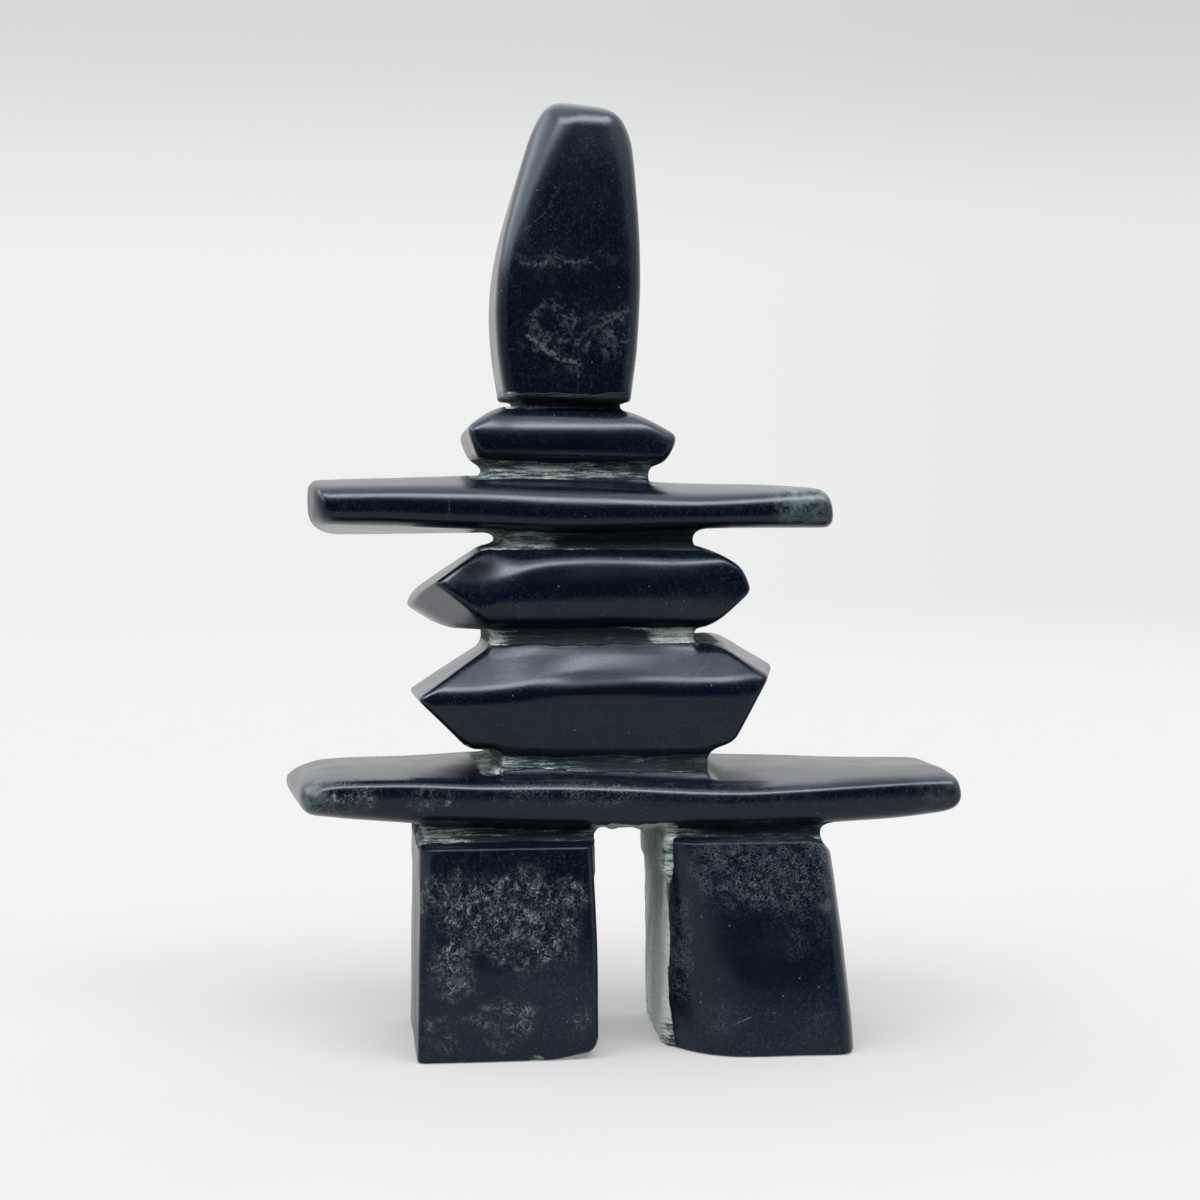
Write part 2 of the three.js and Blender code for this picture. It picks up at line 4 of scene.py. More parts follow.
import bpy
import numpy as np
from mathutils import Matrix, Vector


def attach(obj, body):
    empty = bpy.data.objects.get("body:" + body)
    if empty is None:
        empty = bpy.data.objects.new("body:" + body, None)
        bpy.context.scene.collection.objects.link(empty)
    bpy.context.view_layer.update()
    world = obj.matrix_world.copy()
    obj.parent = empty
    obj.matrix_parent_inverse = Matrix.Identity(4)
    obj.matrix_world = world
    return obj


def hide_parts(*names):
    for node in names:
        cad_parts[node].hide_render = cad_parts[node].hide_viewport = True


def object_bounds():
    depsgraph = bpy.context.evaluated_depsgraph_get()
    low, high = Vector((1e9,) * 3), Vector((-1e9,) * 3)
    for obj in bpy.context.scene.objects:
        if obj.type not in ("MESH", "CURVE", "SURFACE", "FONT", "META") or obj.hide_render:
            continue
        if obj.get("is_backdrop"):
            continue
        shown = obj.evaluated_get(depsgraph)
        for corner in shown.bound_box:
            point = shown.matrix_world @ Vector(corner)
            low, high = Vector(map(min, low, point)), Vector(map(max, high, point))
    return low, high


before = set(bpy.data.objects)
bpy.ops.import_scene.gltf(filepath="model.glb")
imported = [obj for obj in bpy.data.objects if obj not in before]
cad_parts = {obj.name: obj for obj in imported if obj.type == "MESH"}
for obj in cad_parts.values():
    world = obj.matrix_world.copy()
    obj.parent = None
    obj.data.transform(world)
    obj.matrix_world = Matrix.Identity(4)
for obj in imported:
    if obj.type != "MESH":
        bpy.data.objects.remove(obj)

CAD_LO, CAD_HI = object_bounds()
CAD_BOX = [[float(v) for v in CAD_LO], [float(v) for v in CAD_HI]]
T0 = time.time()

# ---------------------------------------------------------------------------
# The cairn as numbers, in millimetres: X right, Y back, Z up, soles at Z 0.
# A stone is a convex section swept along X or Z: every corner of the section
# is a curve over the stations t, and extra planes cut the facets at its ends.
# ---------------------------------------------------------------------------
CELL = 0.72     # grid the surface is first drawn on
TRIANGLES = 190000
FILLET = 1.5                      # where a neck runs into a stone
CENTRE = (1.2377, 1.3776)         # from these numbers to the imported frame

STONES = [
 dict(name='head', axis='z', sig=2.6, k=3.2, c=(-17,0,212),
   t=[168,176,186,196,206,216,226,236,244,250,256],
   v=[ ([-31.9,-33.8,-35.1,-35.7,-35.1,-32.5,-28.2,-24.4,-21.0,-18.2,-15.4],[-20.3,-21.5,-22.6,-23.2,-23.2,-22.8,-22.1,-21.1,-20.2,-19.3,-17.8]),
       ([-2.9,-2.1,-1.1,-0.5,-0.4,-1.0,-2.0,-3.3,-4.9,-6.5,-8.6],[-20.3,-21.5,-22.4,-22.8,-22.8,-22.5,-21.8,-20.9,-19.9,-18.9,-17.4]),
       ([-1.2,-0.2,1.0,1.6,1.8,1.6,1.1,0.6,-0.2,-1.4,-3.2],[-18.2,-19.2,-20.2,-20.6,-20.6,-20.1,-18.9,-17.2,-15.4,-14.0,-12.4]),
       ([-1.0,0.1,1.3,1.8,2.0,1.8,1.2,0.6,-0.3,-1.5,-3.4],[16,17,18,18.6,18.4,17.6,16,14,12,10.4,9]),
       ([-4.0,-3.2,-2.2,-1.8,-1.8,-2.4,-3.6,-5.2,-7.2,-9.0,-11.3],[20.5,21.5,22.6,23.2,23,22.2,20.8,19,17,15.4,13.6]),
       ([-28.6,-30.2,-31.4,-31.8,-31.4,-29.6,-27.0,-23.6,-20.6,-17.6,-14.0],[20.5,21.5,22.6,23.2,23,22.2,20.8,19,17,15.4,13.6]),
       ([-32.2,-34.0,-35.5,-36.1,-35.6,-33.8,-31.2,-28.2,-25.6,-23.2,-20.2],[16,17,18,18.6,18.4,17.6,16,14,12.4,11,9.6]),
       ([-32.8,-34.8,-36.2,-36.9,-36.5,-34.7,-32.2,-29.3,-26.9,-24.6,-21.8],[-18.9,-20.2,-21.2,-21.7,-21.4,-19.9,-17.6,-15.2,-13.2,-11.8,-10.4]) ],
   planes=[(0.03,0,1,-18,0,252.2),(0.30,0,0.954,-10,0,252.1),(0,-0.60,0.80,-14,-13.4,253.3),(0,0.58,0.81,-14,13,250.8),(-0.78,0,0.62,-23.2,0,251.4),(0.80,-0.1,0.6,-2.4,0,250.6),(-0.03,0,-1,-17,0,173.5)]),
 dict(name='small_stone', axis='x', sig=2.0, k=2.4, c=(-16,0,164),
   t=[-50,-43,-36,-20,-6,2,10,16],
   v=[ ([-22.6,-22.8,-23.2,-23.4,-23.2,-22.6,-21.4,-20],[165.4,165.8,166.0,166.0,166.2,166.6,163.6,162]),
       ([-18.2,-18.2,-18.4,-18.4,-18.4,-18.2,-17.4,-16],[171.4,171.6,171.8,171.6,171.2,170.8,169.6,169]),
       ([13,13,13,13,13,13,13,13],[171.8,172.2,172.4,172.2,171.6,171,170,169.4]),
       ([22,22.4,23,23.2,23,22.4,21,20],[165,165.4,165.6,165.8,165.8,165.4,164,163]),
       ([21,21,21.4,21.6,21.4,21,20,19],[157.0,157.0,157.0,157.0,156.8,156.8,156.8,156.8]),
       ([-20.4,-20.4,-20.8,-21.0,-20.8,-20.4,-19.6,-18.6],[157.2,157.0,156.8,156.5,156.4,156.2,156.2,156.2]),
       ([-23.0,-23.2,-23.8,-24.0,-23.8,-23.2,-22.0,-20.6],[161.6,161.8,162.0,162.0,162.0,162.0,161.0,160.4]) ],
   planes=[(-0.584,0.03,0.812,-40.2,0,168.5),(-0.93,0.0,-0.36,-43.7,0,163.2),(0.50,0,0.866,4.7,0,168.2),(0.90,0,-0.44,11.0,0,161.6)]),
 dict(name='arms', axis='x', sig=3.0, k=3.2, c=(-16,0,146),
   t=[-92,-84,-63,-40,-20,0,16,30,42,54,60],
   v=[ ([-26.6,-27.2,-27.8,-28,-28,-28,-27.8,-27.4,-27,-26.6,-26],[150.3,150.4,150.5,149.9,149.0,148.4,148.1,149.2,150.6,151.0,151.0]),
       ([-17,-17,-17,-17,-17,-17,-18,-19,-20,-21,-22],[152.3,152.6,153.2,153.8,153.5,152.4,151.2,150.9,151.2,151.2,151.0]),
       ([21]*11,[151.6,152.0,152.6,153.2,153.2,152.6,151.8,151.5,151.4,151.1,150.9]),
       ([28.4]*11,[146.5,146.6,146.8,147,147,147,147,147,147,147,147]),
       ([24.5]*11,[137.3,137.2,137.3,137.7,138.3,138.8,138.9,139.1,139.2,139.2,139.2]),
       ([-26.4]*11,[141.2,141.0,140.5,139.4,138.6,138.9,139.4,139.6,139.7,139.7,139.7]),
       ([-28.6,-29,-29.4,-29.6,-29.6,-29.6,-29.4,-29.2,-29,-28.6,-28.2],[145.0,145.0,144.6,144.2,143.8,143.8,143.8,144,144.4,144.8,144.8]) ],
   planes=[(-0.9995,-0.02,-0.04,-85.4,0,146),(-0.93,-0.36,0.0,-84.6,-24.5,146),(-0.62,0,-0.785,-83.6,0,138.8),(-0.70,-0.30,-0.64,-81.8,-27,141.2),(0.99,-0.03,0.12,53.0,0,145),(0.72,0,0.69,51.0,0,150.2)]),
 dict(name='upper_diamond', axis='x', sig=3.2, k=2.4, c=(-12,0,122),
   t=[-62,-56,-50,-42,-34,-26,-16,-4,8,16,22,30,36],
   v=[ ([-28.4,-28.4,-28.2,-28.0,-27.8,-27.4,-27.2,-27.2,-27.4,-27.6,-27.6,-27,-26],[120.6,121.8,123.2,125.4,130.0,132.8,133.9,133.7,132.9,132.6,132.8,131.6,129.2]),
       ([-27.4,-27.1,-26.6,-25.4,-22.4,-20.1,-18.9,-18.5,-18.5,-18.5,-18.5,-18.5,-18.5],[134.9]*13),
       ([20]*13,[134.9]*13),
       ([28]*13,[124,124,124,124,124.4,125,125.5,126,126,126,126,125,124]),
       ([23]*13,[111.9]*13),
       ([-23.4]*13,[112.8,112.8,112.8,112.9,112.9,112.9,112.9,112.9,112.9,112.9,113.2,113.6,113.6]),
       ([-29.2,-29.2,-29.2,-29.2,-29.4,-29.5,-29.6,-29.6,-29.4,-29,-28.4,-27.6,-26.6],[120.4,121.2,121.3,121.2,121.3,121.4,121.6,121.9,122.8,123.8,124.4,124.2,124]) ],
   planes=[(-0.565,0.02,0.825,-48.3,0,128.3),(-0.91,0.0,0.42,-57.2,0,121),(-0.53,-0.03,-0.848,-52.6,0,114.7),(-0.60,-0.30,-0.742,-43.8,-26.2,118.0),
           (0.56,0,0.828,23.2,0,132.4),(0.94,0,0.34,29.8,0,124.6),(0.69,0,-0.724,26.2,0,118.8),(0.42,0,-0.907,20.4,0,113.3)]),
 dict(name='lower_diamond', axis='x', sig=3.2, k=2.2, c=(-8,0,95),
   t=[-62,-56,-50,-42,-34,-28,-20,-10,2,14,26,34,44,50],
   v=[ ([-29.2,-29.2,-29.2,-29.2,-29.2,-29.4,-29.6,-29.6,-29.4,-29.2,-28.8,-28.2,-27.2,-26],[95.6,95.6,95.6,95.8,96.4,97.4,98.6,98.9,98.2,97.9,98.2,99.2,100.6,101.0]),
       ([-20.3,-20.3,-20.3,-20.3,-20.8,-21.3,-21.3,-21.7,-22.3,-21.2,-20.6,-21,-21,-21],[109.6]*4+[109.7,109.8,109.6,109.2,108.9,108.8,109,109.4,109.6,109.6]),
       ([21]*14,[109.0]*9+[109.4,109.8,110.0,110.0,110.0]),
       ([29]*14,[96.5,96.5,97,97.4,97.8,98,98,98,98,98,98.5,99,99.4,99.4]),
       ([23]*14,[80.0]*14),
       ([-23.6]*14,[82.2,82.2,82.0,81.6,81.2,80.9,80.7,80.6,80.5,80.5,80.9,81.7,82.6,82.6]) ],
   planes=[(-0.56,0.03,0.828,-48.2,0,101.1),(-0.70,-0.02,-0.714,-51.8,0,88.4),(0.53,-0.10,0.842,29.8,-24,103.8),(0.862,-0.19,-0.466,28.8,-26,88.8),(0.42,0,-0.907,22.9,-26,81.2),(0.985,-0.17,0.0,38.8,-26,99.8)]),
 dict(name='lintel', axis='x', sig=4.0, k=3.0, c=(0,0,69),
   t=[-96,-86,-76,-58,-40,-20,0,16,30,48,70,82,92],
   v=[ ([-27.2,-28.4,-29,-29.4,-29.6,-29.6,-29.6,-29.6,-29.4,-29,-28.4,-27.8,-27],[74.2,74.7,75.4,75.2,73.9,73.9,72.9,71.7,71.3,72.4,73.5,74,73.6]),
       ([-23,-23,-23,-22,-22,-22,-22,-22,-22,-22,-23,-23.4,-23.8],[75.0,75.6,76.2,76.2,75.6,75.4,74.6,73.6,73.2,73.8,74.6,74.9,74.6]),
       ([26]*13,[73.6,74.6,75.2,75.6,76.7,77.2,76.6,75.8,75.2,74.4,73.5,73.3,73.0]),
       ([29.6]*13,[70,70,70,70,70,70,70,70,70,70,70,70,70]),
       ([25]*13,[64.4,63.6,62.8,61.6,61.0,60.6,60.4,60.4,60.6,61.0,62.2,63.8,65.2]),
       ([-26]*13,[65.6,64.9,63.8,62.2,61.3,60.5,60.1,60.1,60.1,60.4,61.4,62.8,64.2]),
       ([-29.6,-30,-30.4,-30.6,-30.8,-30.8,-30.8,-30.8,-30.6,-30.4,-30,-29.6,-29],[69.0,69.0,68.8,68.4,67.8,67.4,67.0,66.8,66.6,66.8,67.6,68.2,68.6]) ],
   planes=[(-0.985,-0.10,0.10,-90.5,0,71),(-0.90,-0.42,0.1,-89.6,-24,71),(-0.55,0,0.835,-86.8,0,74.6),(-0.60,-0.62,0.5,-85.6,-27,72.6),(-0.78,-0.05,-0.62,-89.8,0,65.6),(0.98,-0.06,0.18,87.8,-20,69.5),(0.50,0,0.866,87.6,0,74.6),(0.70,0,-0.714,87.4,0,64.0)]),
 dict(name='left_leg', axis='z', sig=3.0, k=2.0, c=(-36,0,28),
   t=[-6,0,10,22,35,48,58,66],
   v=[ ([-58.4,-58.3,-58.1,-57.9,-57.7,-57.5,-57.3,-57.1],[-28.6,-28.6,-28.8,-28.9,-28.9,-28.7,-28.4,-28.2]),
       ([-10.5,-10.5,-10.5,-10.7,-10.9,-11.6,-12.1,-12.3],[-28.8,-28.8,-29,-29,-28.9,-28.6,-28.2,-28]),
       ([-10.4,-10.4,-10.6,-11.0,-11.4,-11.8,-12,-12.1],[28.6,28.6,28.6,28.4,28.2,28,27.8,27.6]),
       ([-57.6,-57.6,-57.5,-57.4,-57.2,-57.0,-56.8,-56.7],[28.8,28.8,28.8,28.6,28.4,28.2,28,28]) ],
   planes=[(0.20,-0.25,-0.95,-22.5,-28,0),(0.80,-0.2,-0.56,-11.4,-28,3.4),(-0.7,-0.7,0.1,-58.8,-28,28),(-0.7,0.7,0,-57.5,27.2,28),(0.7,0.7,0,-12.3,27,28),(0,-0.05,1,-36,-28,56.4),(0,0,-1,0,0,0)]),
 dict(name='right_leg', axis='z', sig=3.0, k=2.0, c=(32,0,28),
   t=[-6,0,10,22,35,48,58,66],
   v=[ ([20.4,20.4,19.3,17.3,14.8,11.4,8.6,7.6],[-31.4,-31.2,-30.6,-30,-29.4,-28.6,-28,-27.6]),
       ([56.0,55.8,55.2,53.7,52.2,50.6,48.8,47.8],[-32.4,-32.2,-31.4,-30.4,-29.4,-28.4,-27.8,-27.4]),
       ([59.2,59.0,58.2,56.9,55.4,53.6,52.0,51.2],[-26.4,-26.2,-25.8,-25,-24.4,-23.8,-23.4,-23]),
       ([58.0,58.0,57.4,56.6,55.2,53.6,52,51.2],[25.5,25.5,25.5,25.2,25,24.8,24.6,24.4]),
       ([54,54,53.6,52.8,51.6,49.8,48,47],[29.4,29.4,29.2,29,28.6,28.2,28,27.8]),
       ([12.2,12.2,12.0,11.6,11.2,10.4,9.6,9.2],[29,29,29,28.8,28.6,28.4,28.2,28]),
       ([9.8,9.7,9.4,9.0,8.9,8.4,7.8,7.4],[26.5,26.5,26.5,26.4,26.2,26,25.8,25.6]),
       ([8.6,8.6,8.6,8.7,9.0,8.9,8.0,7.0],[-13,-13.5,-16,-18.5,-20.5,-22.5,-24.5,-25.5]) ],
   planes=[(0.50,0.02,0.866,50.2,0,54.4),(0,-0.05,1,30,-28,56.8),(0,0,-1,0,0,0)]),
]
NECKS = [
 ('neck_1', (-29.4,-3.8,-16.0,17.4,166,180)),
 ('neck_2', (-38.2,3.8,-18.6,18.6,148,162)),
 ('neck_3', (-34.2,15.4,-21.4,21.0,128,144)),
 ('neck_4', (-38.0,15.6,-21.4,21.0,102,120)),
 ('neck_5', (-35.4,19.4,-22.0,21.6,70,88)),
 ('neck_left_leg', (-55.8,-11.8,-22.6,22.4,48,70)),
 ('neck_right_leg', (8.2,49.6,-22.6,22.4,48,70)),
]

# the space each stone takes, with room to spare
REACH = {
    "head": (-40, 7, -27, 27, 168, 256), "small_stone": (-50, 16, -28, 28, 151, 177),
    "arms": (-92, 60, -34, 34, 132, 159), "upper_diamond": (-64, 38, -34, 34, 106, 140),
    "lower_diamond": (-64, 52, -34, 34, 75, 115), "lintel": (-98, 94, -36, 35, 55, 82),
    "left_leg": (-65, -5, -34, 34, -2, 63), "right_leg": (1, 65, -38, 35, -2, 63),
}

# floor and roof heights of the sawn grooves, and the raw stone left round each neck:
# how far it runs past the neck at the left, right, front and back
GROOVES = {
    "neck_1": (171.4, 174.7, 4.5, 2.0, 5.2, 2.5), "neck_2": (153.0, 157.4, 5.0, 2.0, 1.2, 2.5),
    "neck_3": (134.2, 139.2, 7.0, 3.0, 1.4, 3.0), "neck_4": (109.4, 112.9, 6.0, 9.0, 1.6, 3.0),
    "neck_5": (75.2, 80.9, 5.5, 4.0, 0.3, 6.0), "neck_left_leg": (56.2, 61.8, 3.0, 3.0, 1.0, 3.0),
    "neck_right_leg": (56.4, 61.6, 3.0, 3.0, 1.0, 3.0),
}

# ---------------------------------------------------------------------------
# value noise on a fixed table
# ---------------------------------------------------------------------------
_TABLE = (np.random.RandomState(11).rand(64, 64, 64) * 2 - 1).astype(np.float32)


def noise(x, y, z, seed=0):
    """smooth noise, about -1 to 1, one bump to a unit"""
    x = x + 17.31 * seed; y = y + 5.77 * seed; z = z + 29.13 * seed
    ix, iy, iz = (np.floor(v).astype(np.int64) for v in (x, y, z))
    fx, fy, fz = x - ix, y - iy, z - iz
    u, v, w = (f * f * f * (f * (f * 6 - 15) + 10) for f in (fx, fy, fz))
    a0, b0, c0 = ix & 63, iy & 63, iz & 63
    a1, b1, c1 = (a0 + 1) & 63, (b0 + 1) & 63, (c0 + 1) & 63
    T = _TABLE
    x00 = T[a0, b0, c0] * (1 - u) + T[a1, b0, c0] * u
    x10 = T[a0, b1, c0] * (1 - u) + T[a1, b1, c0] * u
    x01 = T[a0, b0, c1] * (1 - u) + T[a1, b0, c1] * u
    x11 = T[a0, b1, c1] * (1 - u) + T[a1, b1, c1] * u
    return (x00 * (1 - v) + x10 * v) * (1 - w) + (x01 * (1 - v) + x11 * v) * w


def fbm(x, y, z, seed=0, octaves=3):
    total, amp, norm = 0.0, 1.0, 0.0
    for i in range(octaves):
        total = total + amp * noise(x, y, z, seed + 3 * i)
        norm += amp; amp *= 0.5
        x, y, z = x * 2.03, y * 2.03, z * 2.03
    return total / norm


def step(v, a, b):
    t = np.clip((v - a) / (b - a), 0, 1)
    return t * t * (3 - 2 * t)


# ---------------------------------------------------------------------------
# signed distance to the cairn
# ---------------------------------------------------------------------------
def curve(t, v, sig, lo, hi, pitch=0.5):
    n = int(round((hi - lo) / pitch)) + 1
    g = np.linspace(lo, hi, n)
    y = np.interp(g, t, v)
    if sig > 0:
        m = int(4 * sig / pitch) + 1
        w = np.exp(-0.5 * (np.arange(-m, m + 1) * pitch / sig) ** 2)
        w /= w.sum()
        y = np.convolve(np.concatenate([np.full(m, y[0]), y, np.full(m, y[-1])]), w, "valid")
    return g, y


def smax(a, b, k):
    h = np.maximum(k - np.abs(a - b), 0) / k
    return np.maximum(a, b) + h * h * k * 0.25


def smin(a, b, k):
    return -smax(-a, -b, k)


def tables(s):
    lo, hi = s["t"][0] - 30, s["t"][-1] + 30
    rows = []
    for a, b in s["v"]:
        g, ya = curve(s["t"], a, s["sig"], lo, hi)
        _, yb = curve(s["t"], b, s["sig"], lo, hi)
        rows.append((ya, yb))
    n = len(rows)
    am = [r[0][len(g) // 2] for r in rows]
    bm = [r[1][len(g) // 2] for r in rows]
    area = sum(am[i] * bm[(i + 1) % n] - am[(i + 1) % n] * bm[i] for i in range(n))
    return g, rows, (1 if area > 0 else -1)


TABLES = {s["name"]: tables(s) for s in STONES}

# how softly the facets of each stone run into one another, and its ends
SOFT = {"head": (3.0, 2.9), "small_stone": (3.8, 2.6), "arms": (4.2, 3.0), "upper_diamond": (4.0, 1.6),
        "lower_diamond": (2.8, 1.6), "lintel": (4.4, 3.2), "left_leg": (2.6, 1.0), "right_leg": (2.4, 1.1)}
# two facets that melt together before the others are laid on
MELT = {"right_leg": (0, 7, 9.0), "head": (0, 7, 3.6), "lintel": (0, 6, 3.4)}
for s in STONES:
    s["k"], s["edge"] = SOFT[s["name"]]


def stone(s, x, y, z):
    g, rows, turn = TABLES[s["name"]]
    tt, a, b = (x, y, z) if s["axis"] == "x" else (z, x, y)
    A = [np.interp(tt, g, r[0]) for r in rows]
    B = [np.interp(tt, g, r[1]) for r in rows]
    f, n = None, len(rows)
    melt = MELT.get(s["name"])
    order = list(range(n)) if melt is None else [melt[0], melt[1]] + [i for i in range(n) if i not in melt[:2]]
    for at, i in enumerate(order):
        j = (i + 1) % n
        ea, eb = A[j] - A[i], B[j] - B[i]
        d = turn * ((a - A[i]) * eb - (b - B[i]) * ea) / (np.sqrt(ea * ea + eb * eb) + 1e-9)
        f = d if f is None else smax(f, d, melt[2] if melt and at == 1 else s["k"])
    for nx, ny, nz, px, py, pz in s["planes"]:
        L = math.sqrt(nx * nx + ny * ny + nz * nz)
        d = ((x - px) * nx + (y - py) * ny + (z - pz) * nz) / L
        f = smax(f, d, s["edge"] if nz > -0.999 else 0.8)
    return f


def block(b, x, y, z, r=1.0):
    qx = np.abs(x - (b[0] + b[1]) / 2) - (b[1] - b[0]) / 2 + r
    qy = np.abs(y - (b[2] + b[3]) / 2) - (b[3] - b[2]) / 2 + r
    qz = np.abs(z - (b[4] + b[5]) / 2) - (b[5] - b[4]) / 2 + r
    out = np.sqrt(np.maximum(qx, 0) ** 2 + np.maximum(qy, 0) ** 2 + np.maximum(qz, 0) ** 2)
    return out + np.minimum(np.maximum(qx, np.maximum(qy, qz)), 0) - r


def turn_of(name):
    """a groove ends in a round bottom, as wide as the groove"""
    lo, hi = GROOVES[name][:2]
    return max(1.6, 0.66 * (hi - lo))


def shapes(x, y, z, pick):
    """every stone and neck in turn, each worked out only where pick says it matters"""
    f = np.full(np.shape(x), 9.0)
    for s in STONES:
        m = pick(REACH[s["name"]])
        if m is not None:
            f[m] = smin(f[m], stone(s, x[m], y[m], z[m]), FILLET)
    for name, b in NECKS:
        m = pick((b[0] - 5, b[1] + 5, b[2] - 5, b[3] + 5, b[4] - 4, b[5] + 4))
        if m is not None:
            f[m] = smin(f[m], block(b, x[m], y[m], z[m]), turn_of(name))
    return f


def blob(x, y, z, c, r):
    """1 in the middle of an egg, 0 outside it"""
    q = ((x - c[0]) / r[0]) ** 2 + ((y - c[1]) / r[1]) ** 2 + ((z - c[2]) / r[2]) ** 2
    return step(1 - q, 0, 1)


# hollows worked into the facets: centre, radii, depth
HOLLOWS = [
    ((-18, -23, 205), (12, 7, 24), 0.28),
    ((36, -30, 34), (18, 8, 17), 0.45),          # right leg's front
    ((-36, -29, 38), (19, 8, 15), 0.35),         # left leg's front
    ((-14, -29, 171), (22, 8, 4), 0.30),
    ((20, 27, 104), (22, 9, 6), 0.7), ((-22, 27, 130), (20, 8, 5), 0.5),
    ((-38, 29, 30), (18, 8, 20), 0.4), ((34, 29, 32), (18, 8, 18), 0.45),
]

# chips out of an edge: centre, radii
CHIPS = [
    ((-48.6, -16, 82.2), (2.6, 18, 2.1)), ((-45.6, -24, 81.6), (1.6, 6, 1.3)),
    ((-27, -29.6, 0.2), (2.4, 1.4, 1.3)),
    ((-37.0, -19, 172.6), (2.8, 6, 1.4)), ((22, 30, 0.4), (3, 2, 1.2)),
    ((30, 27, 82), (3, 6, 1.6)),
]


def raw_zone(x, y, z, grow=0.0):
    """1 where the stone is as the saw and the file left it, 0 where it is polished"""
    jit = 0.55 * noise(x / 8.0, y / 8.0, z / 3.0, 21) + 0.35 * noise(x / 2.2, y / 2.2, z / 1.4, 22)
    raw = np.zeros(np.shape(x))
    for name, b in NECKS:
        lo, hi, left, right, front, back = GROOVES[name]
        q = (b[0] - left - grow, b[1] + right + grow, b[2] - front - grow, b[3] + back + grow, lo - 0.25 - grow, hi + 0.25 + grow)
        m = (x > q[0] - 5) & (x < q[1] + 5) & (z > q[4] - 3) & (z < q[5] + 3)
        d = block(q, x[m], y[m], z[m], 0.6)
        raw[m] = np.maximum(raw[m], 1 - step(d + 0.55 * jit[m], -0.15, 0.75))
    # faces sawn between the legs, up to the roof of the arch
    for q in ((6.0, 12.6, -17.5, 31, -2, 61), (-13.0, -8.0, -9, 31, -2, 61), (-12.5, 10.5, -26, 31, 58.0, 62.6),
              (4.0, 9.4, -25.5, -10, 45.0, 60.0)):
        m = (x > q[0] - 5) & (x < q[1] + 5) & (z < q[5] + 4) & (z > q[4] - 4)
        d = block(q, x[m], y[m], z[m], 0.4) - grow
        raw[m] = np.maximum(raw[m], 1 - step(d + 0.45 * jit[m], -0.1, 0.7))
    # a flake off the right leg's inner edge, and the chips
    q = ((x - 9.2 + 0.05 * (z - 31)) / 1.1) ** 2 + ((y + 17.6) / 2.2) ** 2 + ((z - 31) / 10.5) ** 2
    raw = np.maximum(raw, 1 - step(q + 0.2 * jit, 0.7, 1.2))
    for c, r in CHIPS:
        q = ((x - c[0]) / (r[0] + 0.3)) ** 2 + ((y - c[1]) / (r[1] + 0.3)) ** 2 + ((z - c[2]) / (r[2] + 0.3)) ** 2
        raw = np.maximum(raw, 1 - step(q + 0.15 * jit, 0.8, 1.25))
    # soles
    raw = np.maximum(raw, 0.8 * (1 - step(z, 0.15, 0.6)))
    return raw


def relief(x, y, z):
    """how far the hand-worked surface stands off the plain shape"""
    raw = raw_zone(x, y, z)
    d = (1 - raw) * (0.085 * noise(x / 17, y / 17, z / 13, 1) + 0.03 * noise(x / 6.5, y / 6.5, z / 5.5, 2))
    saw = noise(x / 15, y / 15, z / 1.9, 3)
    between = step(x, -14, -12.6) * (1 - step(x, 12, 14)) * (1 - step(z, 56, 58))
    d = d + raw * (1 - 0.75 * between) * (0.09 * noise(x / 4.4, y / 4.4, z / 2.6, 4) + 0.05 * noise(x / 2.2, y / 2.2, z / 1.6, 5) + 0.10 * saw)
    d = d + between * raw * 0.16 * noise(x / 9, (y + 0.6 * z) / 2.4, (z - 0.6 * y) / 14, 9)
    # broad file facets on the sawn face of the right leg, lumps where it meets the arch
    face = step(x, 6, 7) * (1 - step(x, 12, 14)) * (1 - step(z, 58, 62)) * step(y, -19, -15)
    top = face * step(z, 44, 54)
    d = d + face * raw * 0.28 * noise(x / 8, (y + 0.35 * z) / 5.0, z / 20, 6) + top * raw * 0.30 * noise(x / 5, (y + 0.5 * z) / 3.6, (z - 0.4 * y) / 5.5, 7)
    # ragged roof of the arch
    roof = step(x, -15, -11) * (1 - step(x, 8, 12)) * step(z, 56, 59) * (1 - step(z, 63, 65))
    d = d + roof * raw * 0.55 * noise(x / 2.6, y / 3.2, z / 4, 8)
    for c, r, depth in HOLLOWS:
        d = d - depth * blob(x, y, z, c, r)
    # the scoop filed into the lower diamond's front, sharp along its left rim
    m = (z > 94) & (z < 113) & (y < -12) & (x > -32) & (x < 14)
    if m.any():
        a, b, e = x[m], y[m], z[m]
        u = a + 24.5 - 1.05 * (e - 101)
        dip = step(u, -4.0, 10.0) * (1 - step(u, 11, 33)) * step(e, 96.0, 102.5) * (1 - step(e, 101.5, 108.5)) * step(-b, 14, 20)
        d[m] = d[m] - 0.80 * dip
    return d, raw


def field(x, y, z):
    pad = 2.0

    def pick(q):
        m = (x > q[0] - pad) & (x < q[1] + pad) & (y > q[2] - pad) & (y < q[3] + pad) & (z > q[4] - pad) & (z < q[5] + pad)
        return m if m.any() else None

    f = shapes(x, y, z, pick)
    for c, r in CHIPS:
        k = min(r)
        m = (np.abs(x - c[0]) < r[0] + 3) & (np.abs(y - c[1]) < r[1] + 3) & (np.abs(z - c[2]) < r[2] + 3)
        if m.any():
            a, b, e = x[m], y[m], z[m]
            q = np.sqrt(((a - c[0]) / r[0]) ** 2 + ((b - c[1]) / r[1]) ** 2 + ((e - c[2]) / r[2]) ** 2)
            bite = (q - 1) * k + 0.45 * noise(a / 1.8, b / 2.4, e / 1.5, 31)
            f[m] = smax(f[m], -bite, 0.35)
    return f


def full(P):
    x, y, z = P[:, 0], P[:, 1], P[:, 2]
    d, _ = relief(x, y, z)
    # the soles stay flat
    return smax(field(x, y, z) - d, -z, 0.5)


